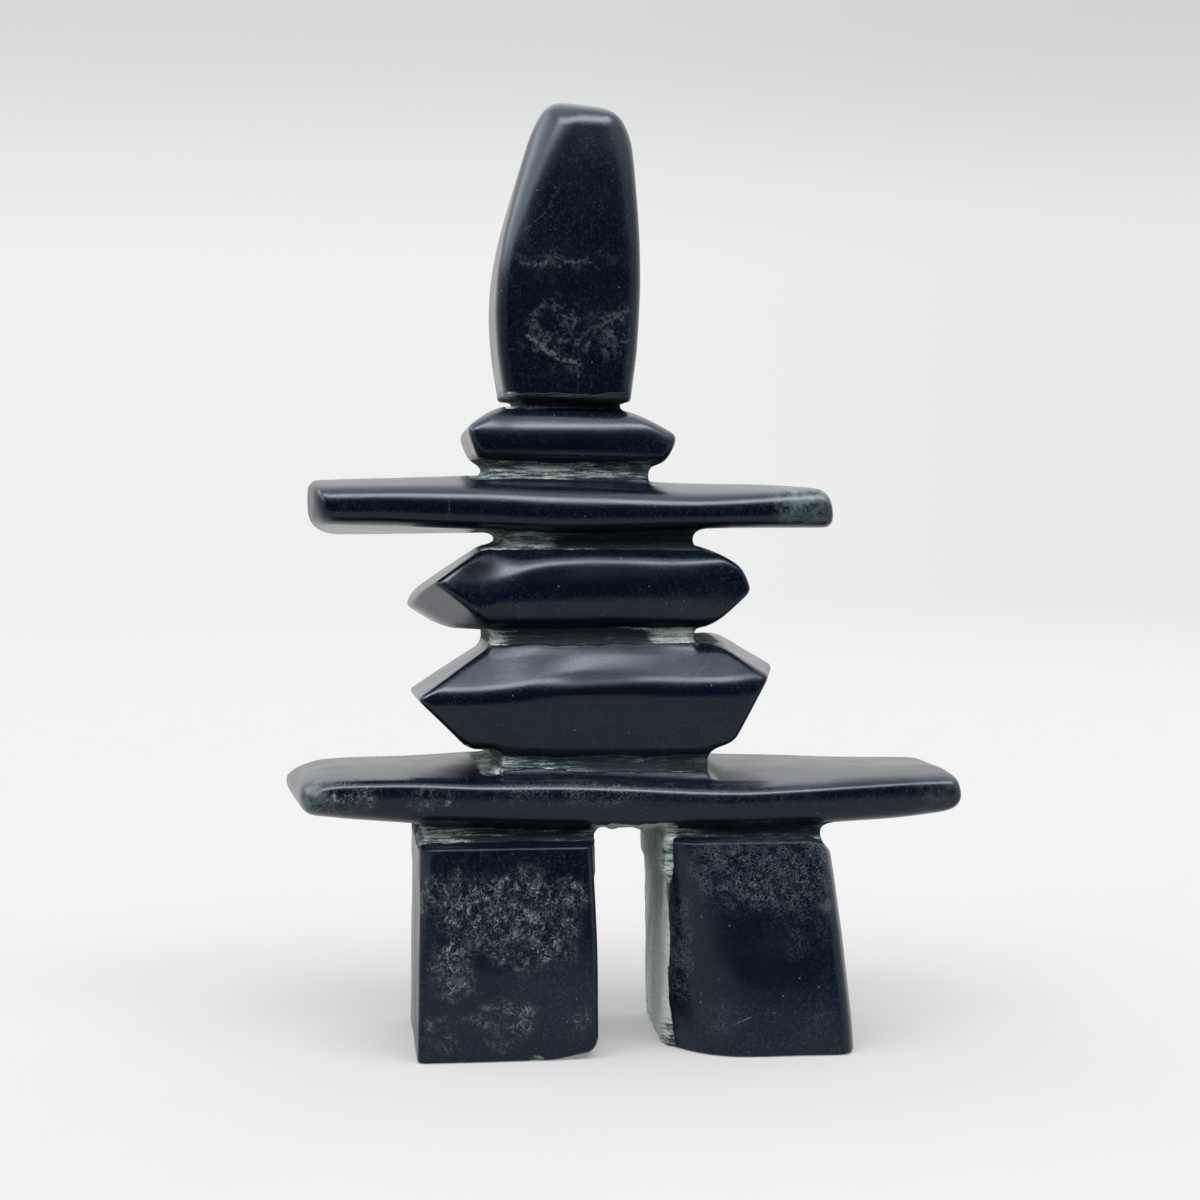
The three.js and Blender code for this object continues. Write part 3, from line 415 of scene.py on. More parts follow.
def slope(P, fn, eps=0.06):
    k = np.array([(1, -1, -1), (-1, -1, 1), (-1, 1, -1), (1, 1, 1)], float)
    g = sum(k[i] * fn(P + eps * k[i])[:, None] for i in range(4))
    return g / (4 * eps)


def settle(P, steps=2):
    """moves points onto the worked surface"""
    for _ in range(steps):
        f = full(P)
        g = slope(P, full)
        P = P - np.clip(f, -0.8, 0.8)[:, None] * g / np.maximum((g * g).sum(1), 0.3)[:, None]
    P[:, 2] = np.where(P[:, 2] < 0.02, 0.0, P[:, 2])
    return P


# ---------------------------------------------------------------------------
# the plain shape on a grid, and a net of quads over it
# ---------------------------------------------------------------------------
def net(h):
    ax = [np.arange(a, b + h, h) for a, b in ((-96, 93), (-36.5, 35.5), (-2.3 - h * 0.37, 257))]
    n = [len(a) for a in ax]
    f = np.full(n, 9.0, np.float32)

    def span(q):
        s = []
        for i in range(3):
            lo = max(0, int(np.searchsorted(ax[i], q[2 * i] - 2)))
            hi = min(n[i], int(np.searchsorted(ax[i], q[2 * i + 1] + 2)))
            s.append(slice(lo, hi))
        return tuple(s)

    def add(q, fn, k=FILLET):
        s = span(q)
        X, Y, Z = np.meshgrid(ax[0][s[0]], ax[1][s[1]], ax[2][s[2]], indexing="ij")
        f[s] = smin(f[s], fn(X, Y, Z), k)

    for s in STONES:
        add(REACH[s["name"]], lambda X, Y, Z, s=s: stone(s, X, Y, Z))
    for name, b in NECKS:
        add((b[0] - 5, b[1] + 5, b[2] - 5, b[3] + 5, b[4] - 4, b[5] + 4), lambda X, Y, Z, b=b: block(b, X, Y, Z), turn_of(name))
    f = np.maximum(f, -ax[2][None, None, :].astype(np.float32))
    inside = f < 0
    c = inside[:-1] .astype(np.uint8) + inside[1:]
    c = c[:, :-1] + c[:, 1:]
    c = c[:, :, :-1] + c[:, :, 1:]
    active = (c > 0) & (c < 8)
    I = np.argwhere(active)
    idx = np.full(active.shape, -1, np.int32)
    idx[active] = np.arange(len(I))
    corner = {(i, j, k): f[I[:, 0] + i, I[:, 1] + j, I[:, 2] + k].astype(float) for i in (0, 1) for j in (0, 1) for k in (0, 1)}
    acc, cnt = np.zeros((len(I), 3)), np.zeros(len(I))
    for a in corner:
        for axis in range(3):
            if a[axis] == 0:
                b = list(a); b[axis] = 1
                fa, fb = corner[a], corner[tuple(b)]
                m = (fa < 0) != (fb < 0)
                t = np.where(m, fa / np.where(m, fa - fb, 1), 0)
                for q in range(3):
                    acc[:, q] += np.where(m, a[q] + (t if q == axis else 0), 0)
                cnt += m
    P = (I + acc / cnt[:, None]) * h + np.array([a[0] for a in ax])
    quads = []
    for axis in range(3):
        lo = [slice(1, n[i] - 1) for i in range(3)]; hi = list(lo)
        lo[axis], hi[axis] = slice(0, n[axis] - 1), slice(1, n[axis])
        a, b = inside[tuple(lo)], inside[tuple(hi)]
        m = a != b
        at = np.argwhere(m); solid = a[m]
        at = at + [0 if i == axis else 1 for i in range(3)]
        u, v = [(1, 2), (2, 0), (0, 1)][axis]

        def cell(du, dv):
            q = at.copy(); q[:, u] -= du; q[:, v] -= dv
            return idx[q[:, 0], q[:, 1], q[:, 2]]

        Q = np.stack([cell(0, 0), cell(1, 0), cell(1, 1), cell(0, 1)], 1)
        Q[~solid] = Q[~solid][:, ::-1]
        quads.append(Q)
    Q = np.concatenate(quads)
    return P, Q[(Q >= 0).all(1)]


def build_mesh():
    P, Q = net(CELL)
    print("net", len(P), len(Q), round(time.time() - T0, 1))
    P = settle(P, 2)
    print("settled", round(time.time() - T0, 1))
    me = bpy.data.meshes.new("net")
    me.vertices.add(len(P)); me.loops.add(4 * len(Q)); me.polygons.add(len(Q))
    me.vertices.foreach_set("co", P.astype(np.float32).ravel())
    me.loops.foreach_set("vertex_index", Q.astype(np.int32).ravel())
    me.polygons.foreach_set("loop_start", np.arange(0, 4 * len(Q), 4, dtype=np.int32))
    me.update(calc_edges=True)
    ob = bpy.data.objects.new("net", me)
    bpy.context.scene.collection.objects.link(ob)
    mod = ob.modifiers.new("thin", "DECIMATE")
    mod.ratio = min(1.0, TRIANGLES / (2.0 * len(Q)))
    dg = bpy.context.evaluated_depsgraph_get()
    ev = ob.evaluated_get(dg)
    thin = bpy.data.meshes.new_from_object(ev, depsgraph=dg)
    bpy.data.objects.remove(ob); bpy.data.meshes.remove(me)
    n = len(thin.vertices)
    P = np.empty(3 * n, np.float32); thin.vertices.foreach_get("co", P)
    thin.calc_loop_triangles()
    T = np.empty(3 * len(thin.loop_triangles), np.int32)
    thin.loop_triangles.foreach_get("vertices", T)
    bpy.data.meshes.remove(thin)
    P = P.reshape(-1, 3).astype(float); T = T.reshape(-1, 3)
    print("thinned", len(P), len(T), round(time.time() - T0, 1))
    before = P.copy()
    P = settle(P, 1)
    # a point that would turn a triangle over stays where it was
    for _ in range(3):
        n0 = np.cross(before[T[:, 1]] - before[T[:, 0]], before[T[:, 2]] - before[T[:, 0]])
        n1 = np.cross(P[T[:, 1]] - P[T[:, 0]], P[T[:, 2]] - P[T[:, 0]])
        bad = (n0 * n1).sum(1) < 0.25 * (n0 * n0).sum(1)
        if not bad.any():
            break
        v = np.unique(T[bad]); P[v] = before[v]
    return P, T


def normals(P):
    g = slope(P, full, 0.12)
    g /= np.linalg.norm(g, axis=1)[:, None] + 1e-12
    g[P[:, 2] < 0.01] = (0, 0, -1)
    return g


# ---------------------------------------------------------------------------
# where the stone's markings lie
# ---------------------------------------------------------------------------
def seg(x, z, a, b):
    """signed distance to a straight mark on a front face, and how far along it is"""
    dx, dz = b[0] - a[0], b[1] - a[1]
    L = math.hypot(dx, dz)
    t = ((x - a[0]) * dx + (z - a[1]) * dz) / (L * L)
    d = ((x - a[0]) * dz - (z - a[1]) * dx) / L
    fade = step(t, -0.08, 0.12) * (1 - step(t, 0.88, 1.08))
    return d, fade, L


# thin veins and scratches: ends (x, z), side of the stone, strength, width
LINES = [
    ((-19.1, 230.3), (-23.3, 222.6), -1, 0.12, 0.30), ((-23.3, 222.6), (-30.1, 217.1), -1, 0.14, 0.30),
    ((-30.8, 208.4), (-21.8, 208.4), -1, 0.34, 0.9), ((-21.8, 208.4), (-12.0, 209.8), -1, 0.28, 0.8),
    ((-29.0, 190.4), (-25.2, 186.8), -1, 0.60, 1.0), ((-25.2, 186.8), (-19.1, 183.6), -1, 0.60, 1.0),
    ((-19.1, 183.6), (-14.0, 182.4), -1, 0.45, 0.9), ((-14.6, 184.0), (-8.4, 196.0), -1, 0.30, 0.6),
    ((-10.4, 192.0), (-2.0, 197.0), -1, 0.40, 0.8), ((-16.0, 181.0), (-14.6, 175.4), -1, 0.30, 0.8),
    ((-49.4, 149.5), (-49.9, 142.0), -1, 0.42, 0.22), ((-49.9, 142.0), (-47.6, 138.0), -1, 0.30, 0.2),
    ((-32.9, 121.4), (-30.6, 115.6), -1, 0.26, 0.26), ((11.2, 119.6), (12.4, 116.8), -1, 0.28, 0.24),
    ((24.8, 8.4), (29.9, 10.4), -1, 0.45, 0.17),
    ((-24.0, 226.0), (-14.0, 205.0), 1, 0.32, 0.6), ((-14.0, 205.0), (-20.0, 188.0), 1, 0.36, 0.8),
    ((-70.0, 150.0), (-62.0, 140.0), 1, 0.30, 0.3), ((18.0, 100.0), (2.0, 92.0), 1, 0.28, 0.4),
    ((30.0, 44.0), (44.0, 24.0), 1, 0.36, 0.5), ((-50.0, 126.0), (-30.0, 119.0), 1, 0.25, 0.4),
]


def markings(P, N):
    x, y, z = P[:, 0], P[:, 1], P[:, 2]
    front, back = step(-y, 10, 18), step(y, 10, 18)
    n1 = fbm(x / 9, y / 9, z / 9, 41)
    n2 = fbm(x / 4, y / 4, z / 4, 47)
    out = {}
    out["raw"] = raw_zone(x, y, z)
    # feathery crystals: left leg's front, the lintel's left end
    c = np.maximum.reduce([
        1.15 * blob(x, y, z, (-29.5, -29, 37.5), (20, 14, 18)),
        0.95 * blob(x, y, z, (-46, -29, 41), (15, 14, 15)),
        0.95 * blob(x, y, z, (-49, -29, 24), (8, 12, 13)),
        0.42 * blob(x, y, z, (-36, -29, 10), (14, 14, 9)),
        0.30 * blob(x, y, z, (-19, -29, 11), (9, 10, 9)),
        0.26 * blob(x, y, z, (-52, -29, 8), (8, 10, 8)),
        0.9 * blob(x, y, z, (-79, -28, 70), (13, 8, 6.5)),
        0.6 * blob(x, y, z, (-56, -29, 70), (9, 6, 5)),
        0.85 * blob(x, y, z, (38, 29, 40), (22, 12, 22)),
        0.6 * blob(x, y, z, (-20, 29, 12), (20, 10, 12)),
        0.7 * blob(x, y, z, (60, 28, 69), (24, 8, 9)),
        0.6 * blob(x, y, z, (-30, 28, 98), (20, 8, 12)),
        0.5 * blob(x, y, z, (57, 0, 22), (9, 22, 20)),
        0.5 * blob(x, y, z, (-60, 6, 40), (8, 20, 18)),
    ])
    smooth = np.maximum(blob(x, y, z, (-20, -29, 19), (12, 12, 10)), 0.6 * blob(x, y, z, (-54, -29, 36), (6, 10, 6)))
    out["crystal"] = np.clip((c + (0.85 * n1 + 0.45 * n2) * step(c, 0.0, 0.25)) * (1 - 0.9 * smooth), 0, 1)
    # worm-like stipple: right leg, lintel's front
    s = np.maximum.reduce([
        1.2 * blob(x, y, z, (34, -30, 50), (29, 14, 16)),
        0.45 * blob(x, y, z, (43, -30, 34), (16, 12, 14)),
        0.9 * blob(x, y, z, (10.6, -25, 28), (6.5, 11, 26)),
        0.65 * blob(x, y, z, (-14, -30, 71), (44, 8, 5.5)),
        0.45 * blob(x, y, z, (26, -30, 70), (26, 8, 4.5)),
        0.4 * blob(x, y, z, (20, -30, 10), (10, 8, 8)),
        0.22 * blob(x, y, z, (48, -31, 9), (12, 8, 8)),
        0.6 * blob(x, y, z, (-30, 28, 146), (30, 8, 8)),
        0.5 * blob(x, y, z, (-34, 29, 44), (20, 9, 16)),
        0.4 * blob(x, y, z, (-17, 22, 214), (15, 8, 26)),
    ])
    out["stipple"] = np.clip(s + 0.35 * n1 * (s > 0.02), 0, 1)
    # cloudy veining: lower half of the head, the arms' right end
    k = np.maximum.reduce([
        0.85 * blob(x, y, z, (-19, -22, 190), (17, 14, 15)),
        0.95 * blob(x, y, z, (-4, -20, 190), (9, 12, 11)),
        0.55 * blob(x, y, z, (-18, -22, 209), (18, 12, 7)),
        0.35 * blob(x, y, z, (-30, -20, 213), (5, 10, 12)),
        0.35 * blob(x, y, z, (-14, -20, 238), (10, 10, 6)),
        0.75 * blob(x, y, z, (-14, 22, 222), (14, 10, 18)),
        0.45 * blob(x, y, z, (0, 0, 196), (6, 18, 18)),
        0.3 * blob(x, y, z, (28, 29, 122), (20, 8, 14)),
        0.4 * blob(x, y, z, (-60, 28, 70), (26, 8, 8)),
    ])
    out["cloud"] = np.clip(k + 0.25 * n1 * (k > 0.02), 0, 1)
    # green-grey mottle, partly the stone's own, partly painted reflection: the end facets of the arms and the lintel
    # are lightened as if catching the bright floor and sides
    m = np.maximum.reduce([
        1.15 * blob(x, y, z, (43.5, -24, 146), (11, 22, 11)),
        0.5 * blob(x, y, z, (51, 4, 146), (7, 26, 9)),
        0.5 * blob(x, y, z, (-86, -26, 70), (7, 10, 7)),
        0.35 * blob(x, y, z, (80, -28, 69), (12, 8, 7)),
        0.5 * blob(x, y, z, (-70, 20, 74), (18, 16, 6)),
        0.4 * blob(x, y, z, (52, -24, 40), (5, 10, 8)),
    ])
    out["mottle_and_reflection"] = np.clip(m + 0.45 * n2 * (m > 0.02), 0, 1)
    # scattered bright flecks
    g = 0.22 + np.maximum.reduce([
        0.8 * blob(x, y, z, (0, -28, 144.9), (20, 6, 3.0)), 0.5 * blob(x, y, z, (-22, -24, 169.5), (16, 10, 4.5)),
        0.4 * blob(x, y, z, (30, -30, 20), (30, 10, 22)), 0.35 * blob(x, y, z, (-20, -29, 88), (22, 8, 7)),
        0.4 * blob(x, y, z, (-12, -29, 71), (40, 6, 5))])
    out["fleck"] = np.clip(g, 0, 1)
    # partly the stone's darkest tone, partly painted shade: near-black bands just under the polished ridges, where
    # the fronts mirror the dark open room
    painted_dark_band = np.maximum.reduce([
        0.9 * blob(x, y, z, (30, -30, 27), (30, 14, 15)), 0.95 * blob(x, y, z, (-14, -28, 127), (44, 10, 5.5)),
        0.8 * blob(x, y, z, (-18, -24, 163), (30, 10, 4)), 0.8 * blob(x, y, z, (-16, -28, 147), (70, 10, 3.6)),
        0.9 * blob(x, y, z, (-4, -28, 95.5), (56, 10, 3.6)), 0.7 * blob(x, y, z, (0, -29, 71), (90, 8, 3.6)),
        0.6 * blob(x, y, z, (-17, -23, 204), (18, 10, 14)), 0.6 * blob(x, y, z, (-46, -29, 24), (12, 8, 14)),
        0.5 * blob(x, y, z, (10, 28, 98), (30, 12, 10)), 0.5 * blob(x, y, z, (-30, 28, 30), (18, 12, 16))])
    out["deep"] = np.clip(painted_dark_band + 0.3 * n1 * step(painted_dark_band, 0.0, 0.25), 0, 1)
    # thin veins and scratches
    vd, vm, near = np.full(len(P), 9.0), np.zeros(len(P)), np.full(len(P), 9.0)
    wob = 0.55 * noise(x / 2.6, y / 2.6, z / 2.6, 61) + 0.25 * noise(x / 1.1, y / 1.1, z / 1.1, 62)
    for a, b, side, strength, width in LINES:
        d, fade, L = seg(x, z, a, b)
        d = d + wob * (1.0 if L > 5 else 0.35)
        face = front if side < 0 else back
        here = (np.abs(d) < 2.2) & (fade > 0) & (np.abs(d) < near) & (face > 0)
        near[here] = np.abs(d[here])
        vd[here] = d[here] / width
        vm[here] = (strength * fade * face * (1 - step(np.abs(d), 1.1, 2.1)))[here]
    out["vein_at"], out["vein"] = vd, vm
    # wet-looking dark stains in the raw grooves
    t = 0.9 * fbm(x / 12, y / 10, z / 1.1, 71) + 0.5 * fbm(x / 3.4, y / 3.4, z / 0.9, 74)
    deep = np.zeros(len(P))
    for c, r, a in (((-14, -18, 173.6), (30, 10, 2.4), 0.42), ((-16, -23, 173.2), (24, 6, 4.0), 0.70), ((-36, -14, 173), (7, 16, 3.4), -0.75),
                    ((-18, -19, 155), (28, 8, 4), -0.22), ((-6, -19, 155), (12, 8, 4), 0.12),
                    ((-30, -22, 136.4), (12, 8, 4), -0.30), ((2, -22, 136.4), (26, 8, 4), 0.42),
                    ((-42, -14, 136.4), (8, 20, 5), -0.45),
                    ((-14, -22, 110.8), (22, 8, 3.6), 0.95), ((-40, -18, 110.8), (9, 16, 4), -0.35),
                    ((10, -22, 111), (10, 8, 4), -0.40), ((4, -22, 78), (32, 8, 5), 0.34), ((-34, -20, 79), (12, 12, 5), -0.06),
                    ((-50, -23, 59), (8, 8, 4), -0.08), ((-30, -23, 59), (24, 8, 4), 0.30), ((-36, -23, 61.2), (24, 8, 1.8), -0.16),
                    ((34, -23, 59), (20, 8, 3), 0.26), ((16, -23, 60), (10, 8, 3), -0.10),
                    ((9, 5, 30), (6, 44, 44), -1.0), ((-10, 5, 30), (6, 44, 44), -1.0), ((0, -10, 62), (16, 40, 5), -0.7),
                    ((-57, -14, 59), (4.5, 14, 4), -0.7), ((8, -12, 58), (6, 16, 6), -0.9),
                    ((-48, 0, 76), (12, 34, 4), -0.25), ((28, 0, 75), (10, 34, 3), -0.2), ((-40, 6, 136), (8, 34, 5), -0.4),
                    ((0, 24, 78), (30, 8, 5), -0.2), ((-14, 22, 110.8), (30, 8, 3.6), -0.25)):
        deep = deep + a * blob(x, y, z, c, r)
    # the flats of the lowest groove were filed clean
    wall = 1 - 0.35 * step(np.abs(N[:, 2]), 0.55, 0.85) * (z > 70) * (z < 84)
    out["pale"] = np.clip(1.4 * blob(x, y, z, (8, 4, 28), (6, 44, 52)), 0, 1) * out["raw"]
    # where the polish is dull: beside the grooves, and where the photo shows no shine
    dull = 0.72 * raw_zone(x, y, z, 1.0)
    dull = np.maximum.reduce([dull,
        0.97 * blob(x, y, z, (-42, -25, 131.5), (10, 9, 7)),
        0.85 * blob(x, y, z, (-9, -29.5, 98.6), (20, 7, 3.4)),
        0.60 * blob(x, y, z, (-41, -24, 108), (17, 8, 5)),
        0.32 * blob(x, y, z, (-6, -25, 132), (44, 9, 7)),
        0.65 * blob(x, y, z, (56, -28, 74), (38, 6, 4)),
        0.30 * blob(x, y, z, (-5, -26, 104), (56, 10, 8)),
        0.70 * blob(x, y, z, (30, -25, 128), (12, 9, 9)),
        0.75 * blob(x, y, z, (39, -26, 101), (18, 9, 7)),
        0.45 * blob(x, y, z, (-46, -25, 104), (18, 9, 8)),
        0.80 * blob(x, y, z, (-34.5, -21, 186), (6, 9, 30)),
        0.85 * blob(x, y, z, (-87, 0, 146), (6, 40, 14)),
        0.80 * blob(x, y, z, (50, 0, 97), (12, 40, 16)),
        0.85 * blob(x, y, z, (-35, -28, 56.5), (40, 6, 3.4)),
        0.85 * blob(x, y, z, (30, -28, 56.8), (40, 6, 3.4)),
        0.60 * blob(x, y, z, (-58.5, -27, 28), (2.6, 7, 46)),
        0.85 * blob(x, y, z, (-60, -6, 28), (6, 42, 48)),
        0.45 * blob(x, y, z, (-36, -24, 158), (16, 9, 3.2)),
    ])
    out["dull"] = np.clip(dull + 0.2 * n1 * step(dull, 0.0, 0.25), 0, 1)
    out["stain"] = np.clip((0.70 + 0.42 * t + deep) * wall, 0, 1)
    return out


# ---------------------------------------------------------------------------
# flat charts, one to each side of each stone, packed in a square
# ---------------------------------------------------------------------------
CUTS = [59.0, 78.2, 111.1, 136.7, 155.2, 172.8]


def charts(P, T):
    c = P[T].mean(1)
    n = np.cross(P[T[:, 1]] - P[T[:, 0]], P[T[:, 2]] - P[T[:, 0]])
    axis = np.abs(n).argmax(1)
    way = (n[np.arange(len(T)), axis] > 0).astype(int)
    layer = np.searchsorted(CUTS, c[:, 2]) + 1
    layer[(layer == 1) & (c[:, 0] < -1)] = 0
    key = layer * 6 + axis * 2 + way
    ua = np.array([1, 0, 0])[axis]; va = np.array([2, 2, 1])[axis]
    corner = P[T]                                  # faces, 3, xyz
    f = np.arange(len(T))
    u = corner[f[:, None], np.arange(3)[None], ua[:, None]]
    v = corner[f[:, None], np.arange(3)[None], va[:, None]]
    rect = {}
    for k in np.unique(key):
        m = key == k
        rect[k] = (u[m].min(), v[m].min(), u[m].max(), v[m].max())
    gap = 1.6
    best = None
    for width in np.linspace(150, 420, 60):
        at, px, py, row = {}, gap, gap, 0.0
        for k in sorted(rect, key=lambda k: -(rect[k][3] - rect[k][1])):
            r = rect[k]; w, h = r[2] - r[0], r[3] - r[1]
            if w + 2 * gap > width:
                px = 1e9; break
            if px + w + gap > width:
                px, py, row = gap, py + row + gap, 0.0
            at[k] = (px, py); px += w + gap; row = max(row, h)
        if px > 1e8:
            continue
        side = max(width, py + row + gap)
        if best is None or side < best[0]:
            best = (side, at)
    side, at = best
    du, dv = np.zeros(len(T)), np.zeros(len(T))
    for k in rect:
        m = key == k
        du[m], dv[m] = at[k][0] - rect[k][0], at[k][1] - rect[k][1]
    print("charts", len(rect), "square of", round(float(side), 1), "mm")
    return np.stack([(u + du[:, None]) / side, (v + dv[:, None]) / side], 2).reshape(-1, 2)


P, T = build_mesh()
N = normals(P)
MARKS = markings(P, N)
UV = charts(P, T)
print("marked", round(time.time() - T0, 1))

me = bpy.data.meshes.new("cairn_stone")
W = (P + [CENTRE[0], CENTRE[1], 0]) / 1000.0
me.vertices.add(len(W)); me.loops.add(3 * len(T)); me.polygons.add(len(T))
me.vertices.foreach_set("co", W.astype(np.float32).ravel())
me.loops.foreach_set("vertex_index", T.astype(np.int32).ravel())
me.polygons.foreach_set("loop_start", np.arange(0, 3 * len(T), 3, dtype=np.int32))
me.update(calc_edges=True)
if me.validate(verbose=False):
    print("mesh was mended")
for name, val in MARKS.items():
    a = me.attributes.new(name, "FLOAT", "POINT")
    a.data.foreach_set("value", val.astype(np.float32))
if len(me.loops) == len(UV):
    uv = me.uv_layers.new(name="OFBake")
    uv.data.foreach_set("uv", UV.astype(np.float32).ravel())
me.polygons.foreach_set("use_smooth", np.ones(len(me.polygons), bool))
if len(me.vertices) == len(N):
    me.normals_split_custom_set_from_vertices(N.astype(np.float32))
cairn = bpy.data.objects.new("cairn_stone", me)
bpy.context.scene.collection.objects.link(cairn)
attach(cairn, "root")
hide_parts("carved_cairn")

# ---------------------------------------------------------------------------
# the stone's finish
# ---------------------------------------------------------------------------
mat = bpy.data.materials.new("serpentine")
mat.use_nodes = True
nt = mat.node_tree
nt.nodes.clear()


class Nodes:
    """small helpers that put nodes in one tree"""

    def __init__(self, tree):
        self.t = tree

    def put(self, socket, v):
        if isinstance(v, bpy.types.NodeSocket):
            self.t.links.new(v, socket)
        else:
            socket.default_value = v

    def math(self, op, a, b=0.0, c=None, clamp=False):
        n = self.t.nodes.new("ShaderNodeMath"); n.operation = op; n.use_clamp = clamp
        self.put(n.inputs[0], a); self.put(n.inputs[1], b)
        if c is not None:
            self.put(n.inputs[2], c)
        return n.outputs[0]

    def vec(self, op, a, b=None, scale=None):
        n = self.t.nodes.new("ShaderNodeVectorMath"); n.operation = op
        self.put(n.inputs[0], a)
        if b is not None:
            self.put(n.inputs[1], b)
        if scale is not None:
            self.put(n.inputs["Scale"], scale)
        return n.outputs["Value"] if op in ("LENGTH", "DOT_PRODUCT", "DISTANCE") else n.outputs["Vector"]

    def split(self, v):
        n = self.t.nodes.new("ShaderNodeSeparateXYZ"); self.put(n.inputs[0], v)
        return n.outputs

    def join(self, x, y, z):
        n = self.t.nodes.new("ShaderNodeCombineXYZ")
        for i, v in enumerate((x, y, z)):
            self.put(n.inputs[i], v)
        return n.outputs[0]

    def ramp(self, v, a, b, lo=0.0, hi=1.0, smooth=True):
        n = self.t.nodes.new("ShaderNodeMapRange")
        n.interpolation_type = "SMOOTHSTEP" if smooth else "LINEAR"
        n.clamp = True
        self.put(n.inputs["Value"], v)
        for k, x in (("From Min", a), ("From Max", b), ("To Min", lo), ("To Max", hi)):
            self.put(n.inputs[k], x)
        return n.outputs["Result"]

    def noise(self, v, scale=1.0, detail=2.0, rough=0.5, distortion=0.0, kind="FBM", colour=False, lacunarity=2.0):
        n = self.t.nodes.new("ShaderNodeTexNoise"); n.noise_dimensions = "3D"; n.noise_type = kind
        n.normalize = True
        self.put(n.inputs["Vector"], v); self.put(n.inputs["Scale"], scale)
        self.put(n.inputs["Detail"], detail); self.put(n.inputs["Roughness"], rough)
        self.put(n.inputs["Lacunarity"], lacunarity)
        self.put(n.inputs["Distortion"], distortion)
        return n.outputs["Color"] if colour else n.outputs["Fac"]

    def cells(self, v, scale, feature="F1", metric="EUCLIDEAN", random=1.0, out="Distance"):
        n = self.t.nodes.new("ShaderNodeTexVoronoi"); n.voronoi_dimensions = "3D"
        n.feature = feature
        if feature not in ("DISTANCE_TO_EDGE", "N_SPHERE_RADIUS"):
            n.distance = metric
        self.put(n.inputs["Vector"], v); self.put(n.inputs["Scale"], scale)
        self.put(n.inputs["Randomness"], random)
        return n.outputs[out]

    def mix(self, f, a, b, blend="MIX"):
        n = self.t.nodes.new("ShaderNodeMix"); n.data_type = "RGBA"; n.blend_type = blend
        self.put(n.inputs[0], f)
        for s, v in ((n.inputs[6], a), (n.inputs[7], b)):
            self.put(s, v if isinstance(v, bpy.types.NodeSocket) else (*v, 1.0))
        return n.outputs[2]

    def blend(self, f, a, b):
        n = self.t.nodes.new("ShaderNodeMix"); n.data_type = "FLOAT"
        self.put(n.inputs[0], f); self.put(n.inputs[2], a); self.put(n.inputs[3], b)
        return n.outputs[0]

    def attribute(self, name):
        n = self.t.nodes.new("ShaderNodeAttribute"); n.attribute_name = name
        return n.outputs["Fac"]


g = Nodes(nt)
co = nt.nodes.new("ShaderNodeTexCoord").outputs["Object"]
mm = g.vec("SCALE", co, scale=1000.0)                       # millimetres
raw, crystal, stipple = g.attribute("raw"), g.attribute("crystal"), g.attribute("stipple")
cloud, mottle_and_reflection, fleck = g.attribute("cloud"), g.attribute("mottle_and_reflection"), g.attribute("fleck")
dull, pale = g.attribute("dull"), g.attribute("pale")
vein_at, vein, stain, deep = g.attribute("vein_at"), g.attribute("vein"), g.attribute("stain"), g.attribute("deep")

# fine unevenness that every edge of a marking shares
wander = g.vec("SUBTRACT", g.noise(mm, 0.42, 2.0, 0.55, colour=True), (0.5, 0.5, 0.5))
mm_w = g.vec("ADD", mm, g.vec("SCALE", wander, scale=3.2))
small = g.vec("SUBTRACT", g.noise(mm, 1.3, 2.0, 0.6, colour=True), (0.5, 0.5, 0.5))
mm_s = g.vec("ADD", mm, g.vec("SCALE", small, scale=1.1))

# --- polished body -----------------------------------------------------------
broad = g.noise(mm, 0.055, 3.0, 0.55)
body = g.mix(g.ramp(broad, 0.38, 0.64), (0.0005, 0.0017, 0.0060), (0.0014, 0.0034, 0.0088))
grain = g.noise(mm_s, 0.85, 4.0, 0.62)
body = g.mix(g.math("MULTIPLY", g.ramp(grain, 0.52, 0.80), 0.30), body, (0.024, 0.033, 0.037))
tooth = g.noise(g.vec("MULTIPLY", mm, (1.0, 1.0, 0.7)), 1.75, 3.0, 0.68)
body = g.mix(g.ramp(tooth, 0.60, 0.36), body, (0.0003, 0.0007, 0.0022))
body = g.mix(g.math("MULTIPLY", g.ramp(tooth, 0.52, 0.70), 0.60), body, (0.0108, 0.0168, 0.0236))
# painted shade: the body goes near-black in the bands under the ridges where the polish mirrors the dark room, partly
# the stone's own dark tone
body = g.mix(g.math("MULTIPLY", deep, 0.88), body, (0.0003, 0.0009, 0.0034))
pits = g.cells(mm_s, 1.15)
body = g.mix(g.math("MULTIPLY", g.ramp(pits, 0.26, 0.10), 0.35), body, (0.0006, 0.0012, 0.0024))

# cloudy veining
c1 = g.noise(mm_w, 0.115, 9.0, 0.72, 0.5)
c2 = g.noise(g.vec("ADD", mm_w, (31.0, 7.0, 12.0)), 0.20, 6.0, 0.66, 0.4)
c3 = g.noise(g.vec("ADD", mm_w, (3.0, 70.0, 42.0)), 0.60, 4.0, 0.66, 0.9)
veil = g.math("ABSOLUTE", g.math("SUBTRACT", c1, 0.5))
veil = g.math("MULTIPLY", g.ramp(veil, 0.034, 0.0), g.ramp(c2, 0.40, 0.60))
haze = g.math("MULTIPLY", g.ramp(c2, 0.46, 0.74), g.ramp(c3, 0.40, 0.66, 0.10, 0.75))
veil = g.math("ADD", veil, haze, clamp=True)
veil = g.math("MULTIPLY", veil, g.ramp(cloud, 0.10, 0.95))
body = g.mix(g.math("MULTIPLY", veil, 0.75), body, (0.046, 0.062, 0.065))

# feathery crystals
fv = g.vec("MULTIPLY", mm_w, (1.0, 1.0, 0.55))
f1 = g.noise(fv, 0.36, 5.0, 0.62, 1.9)


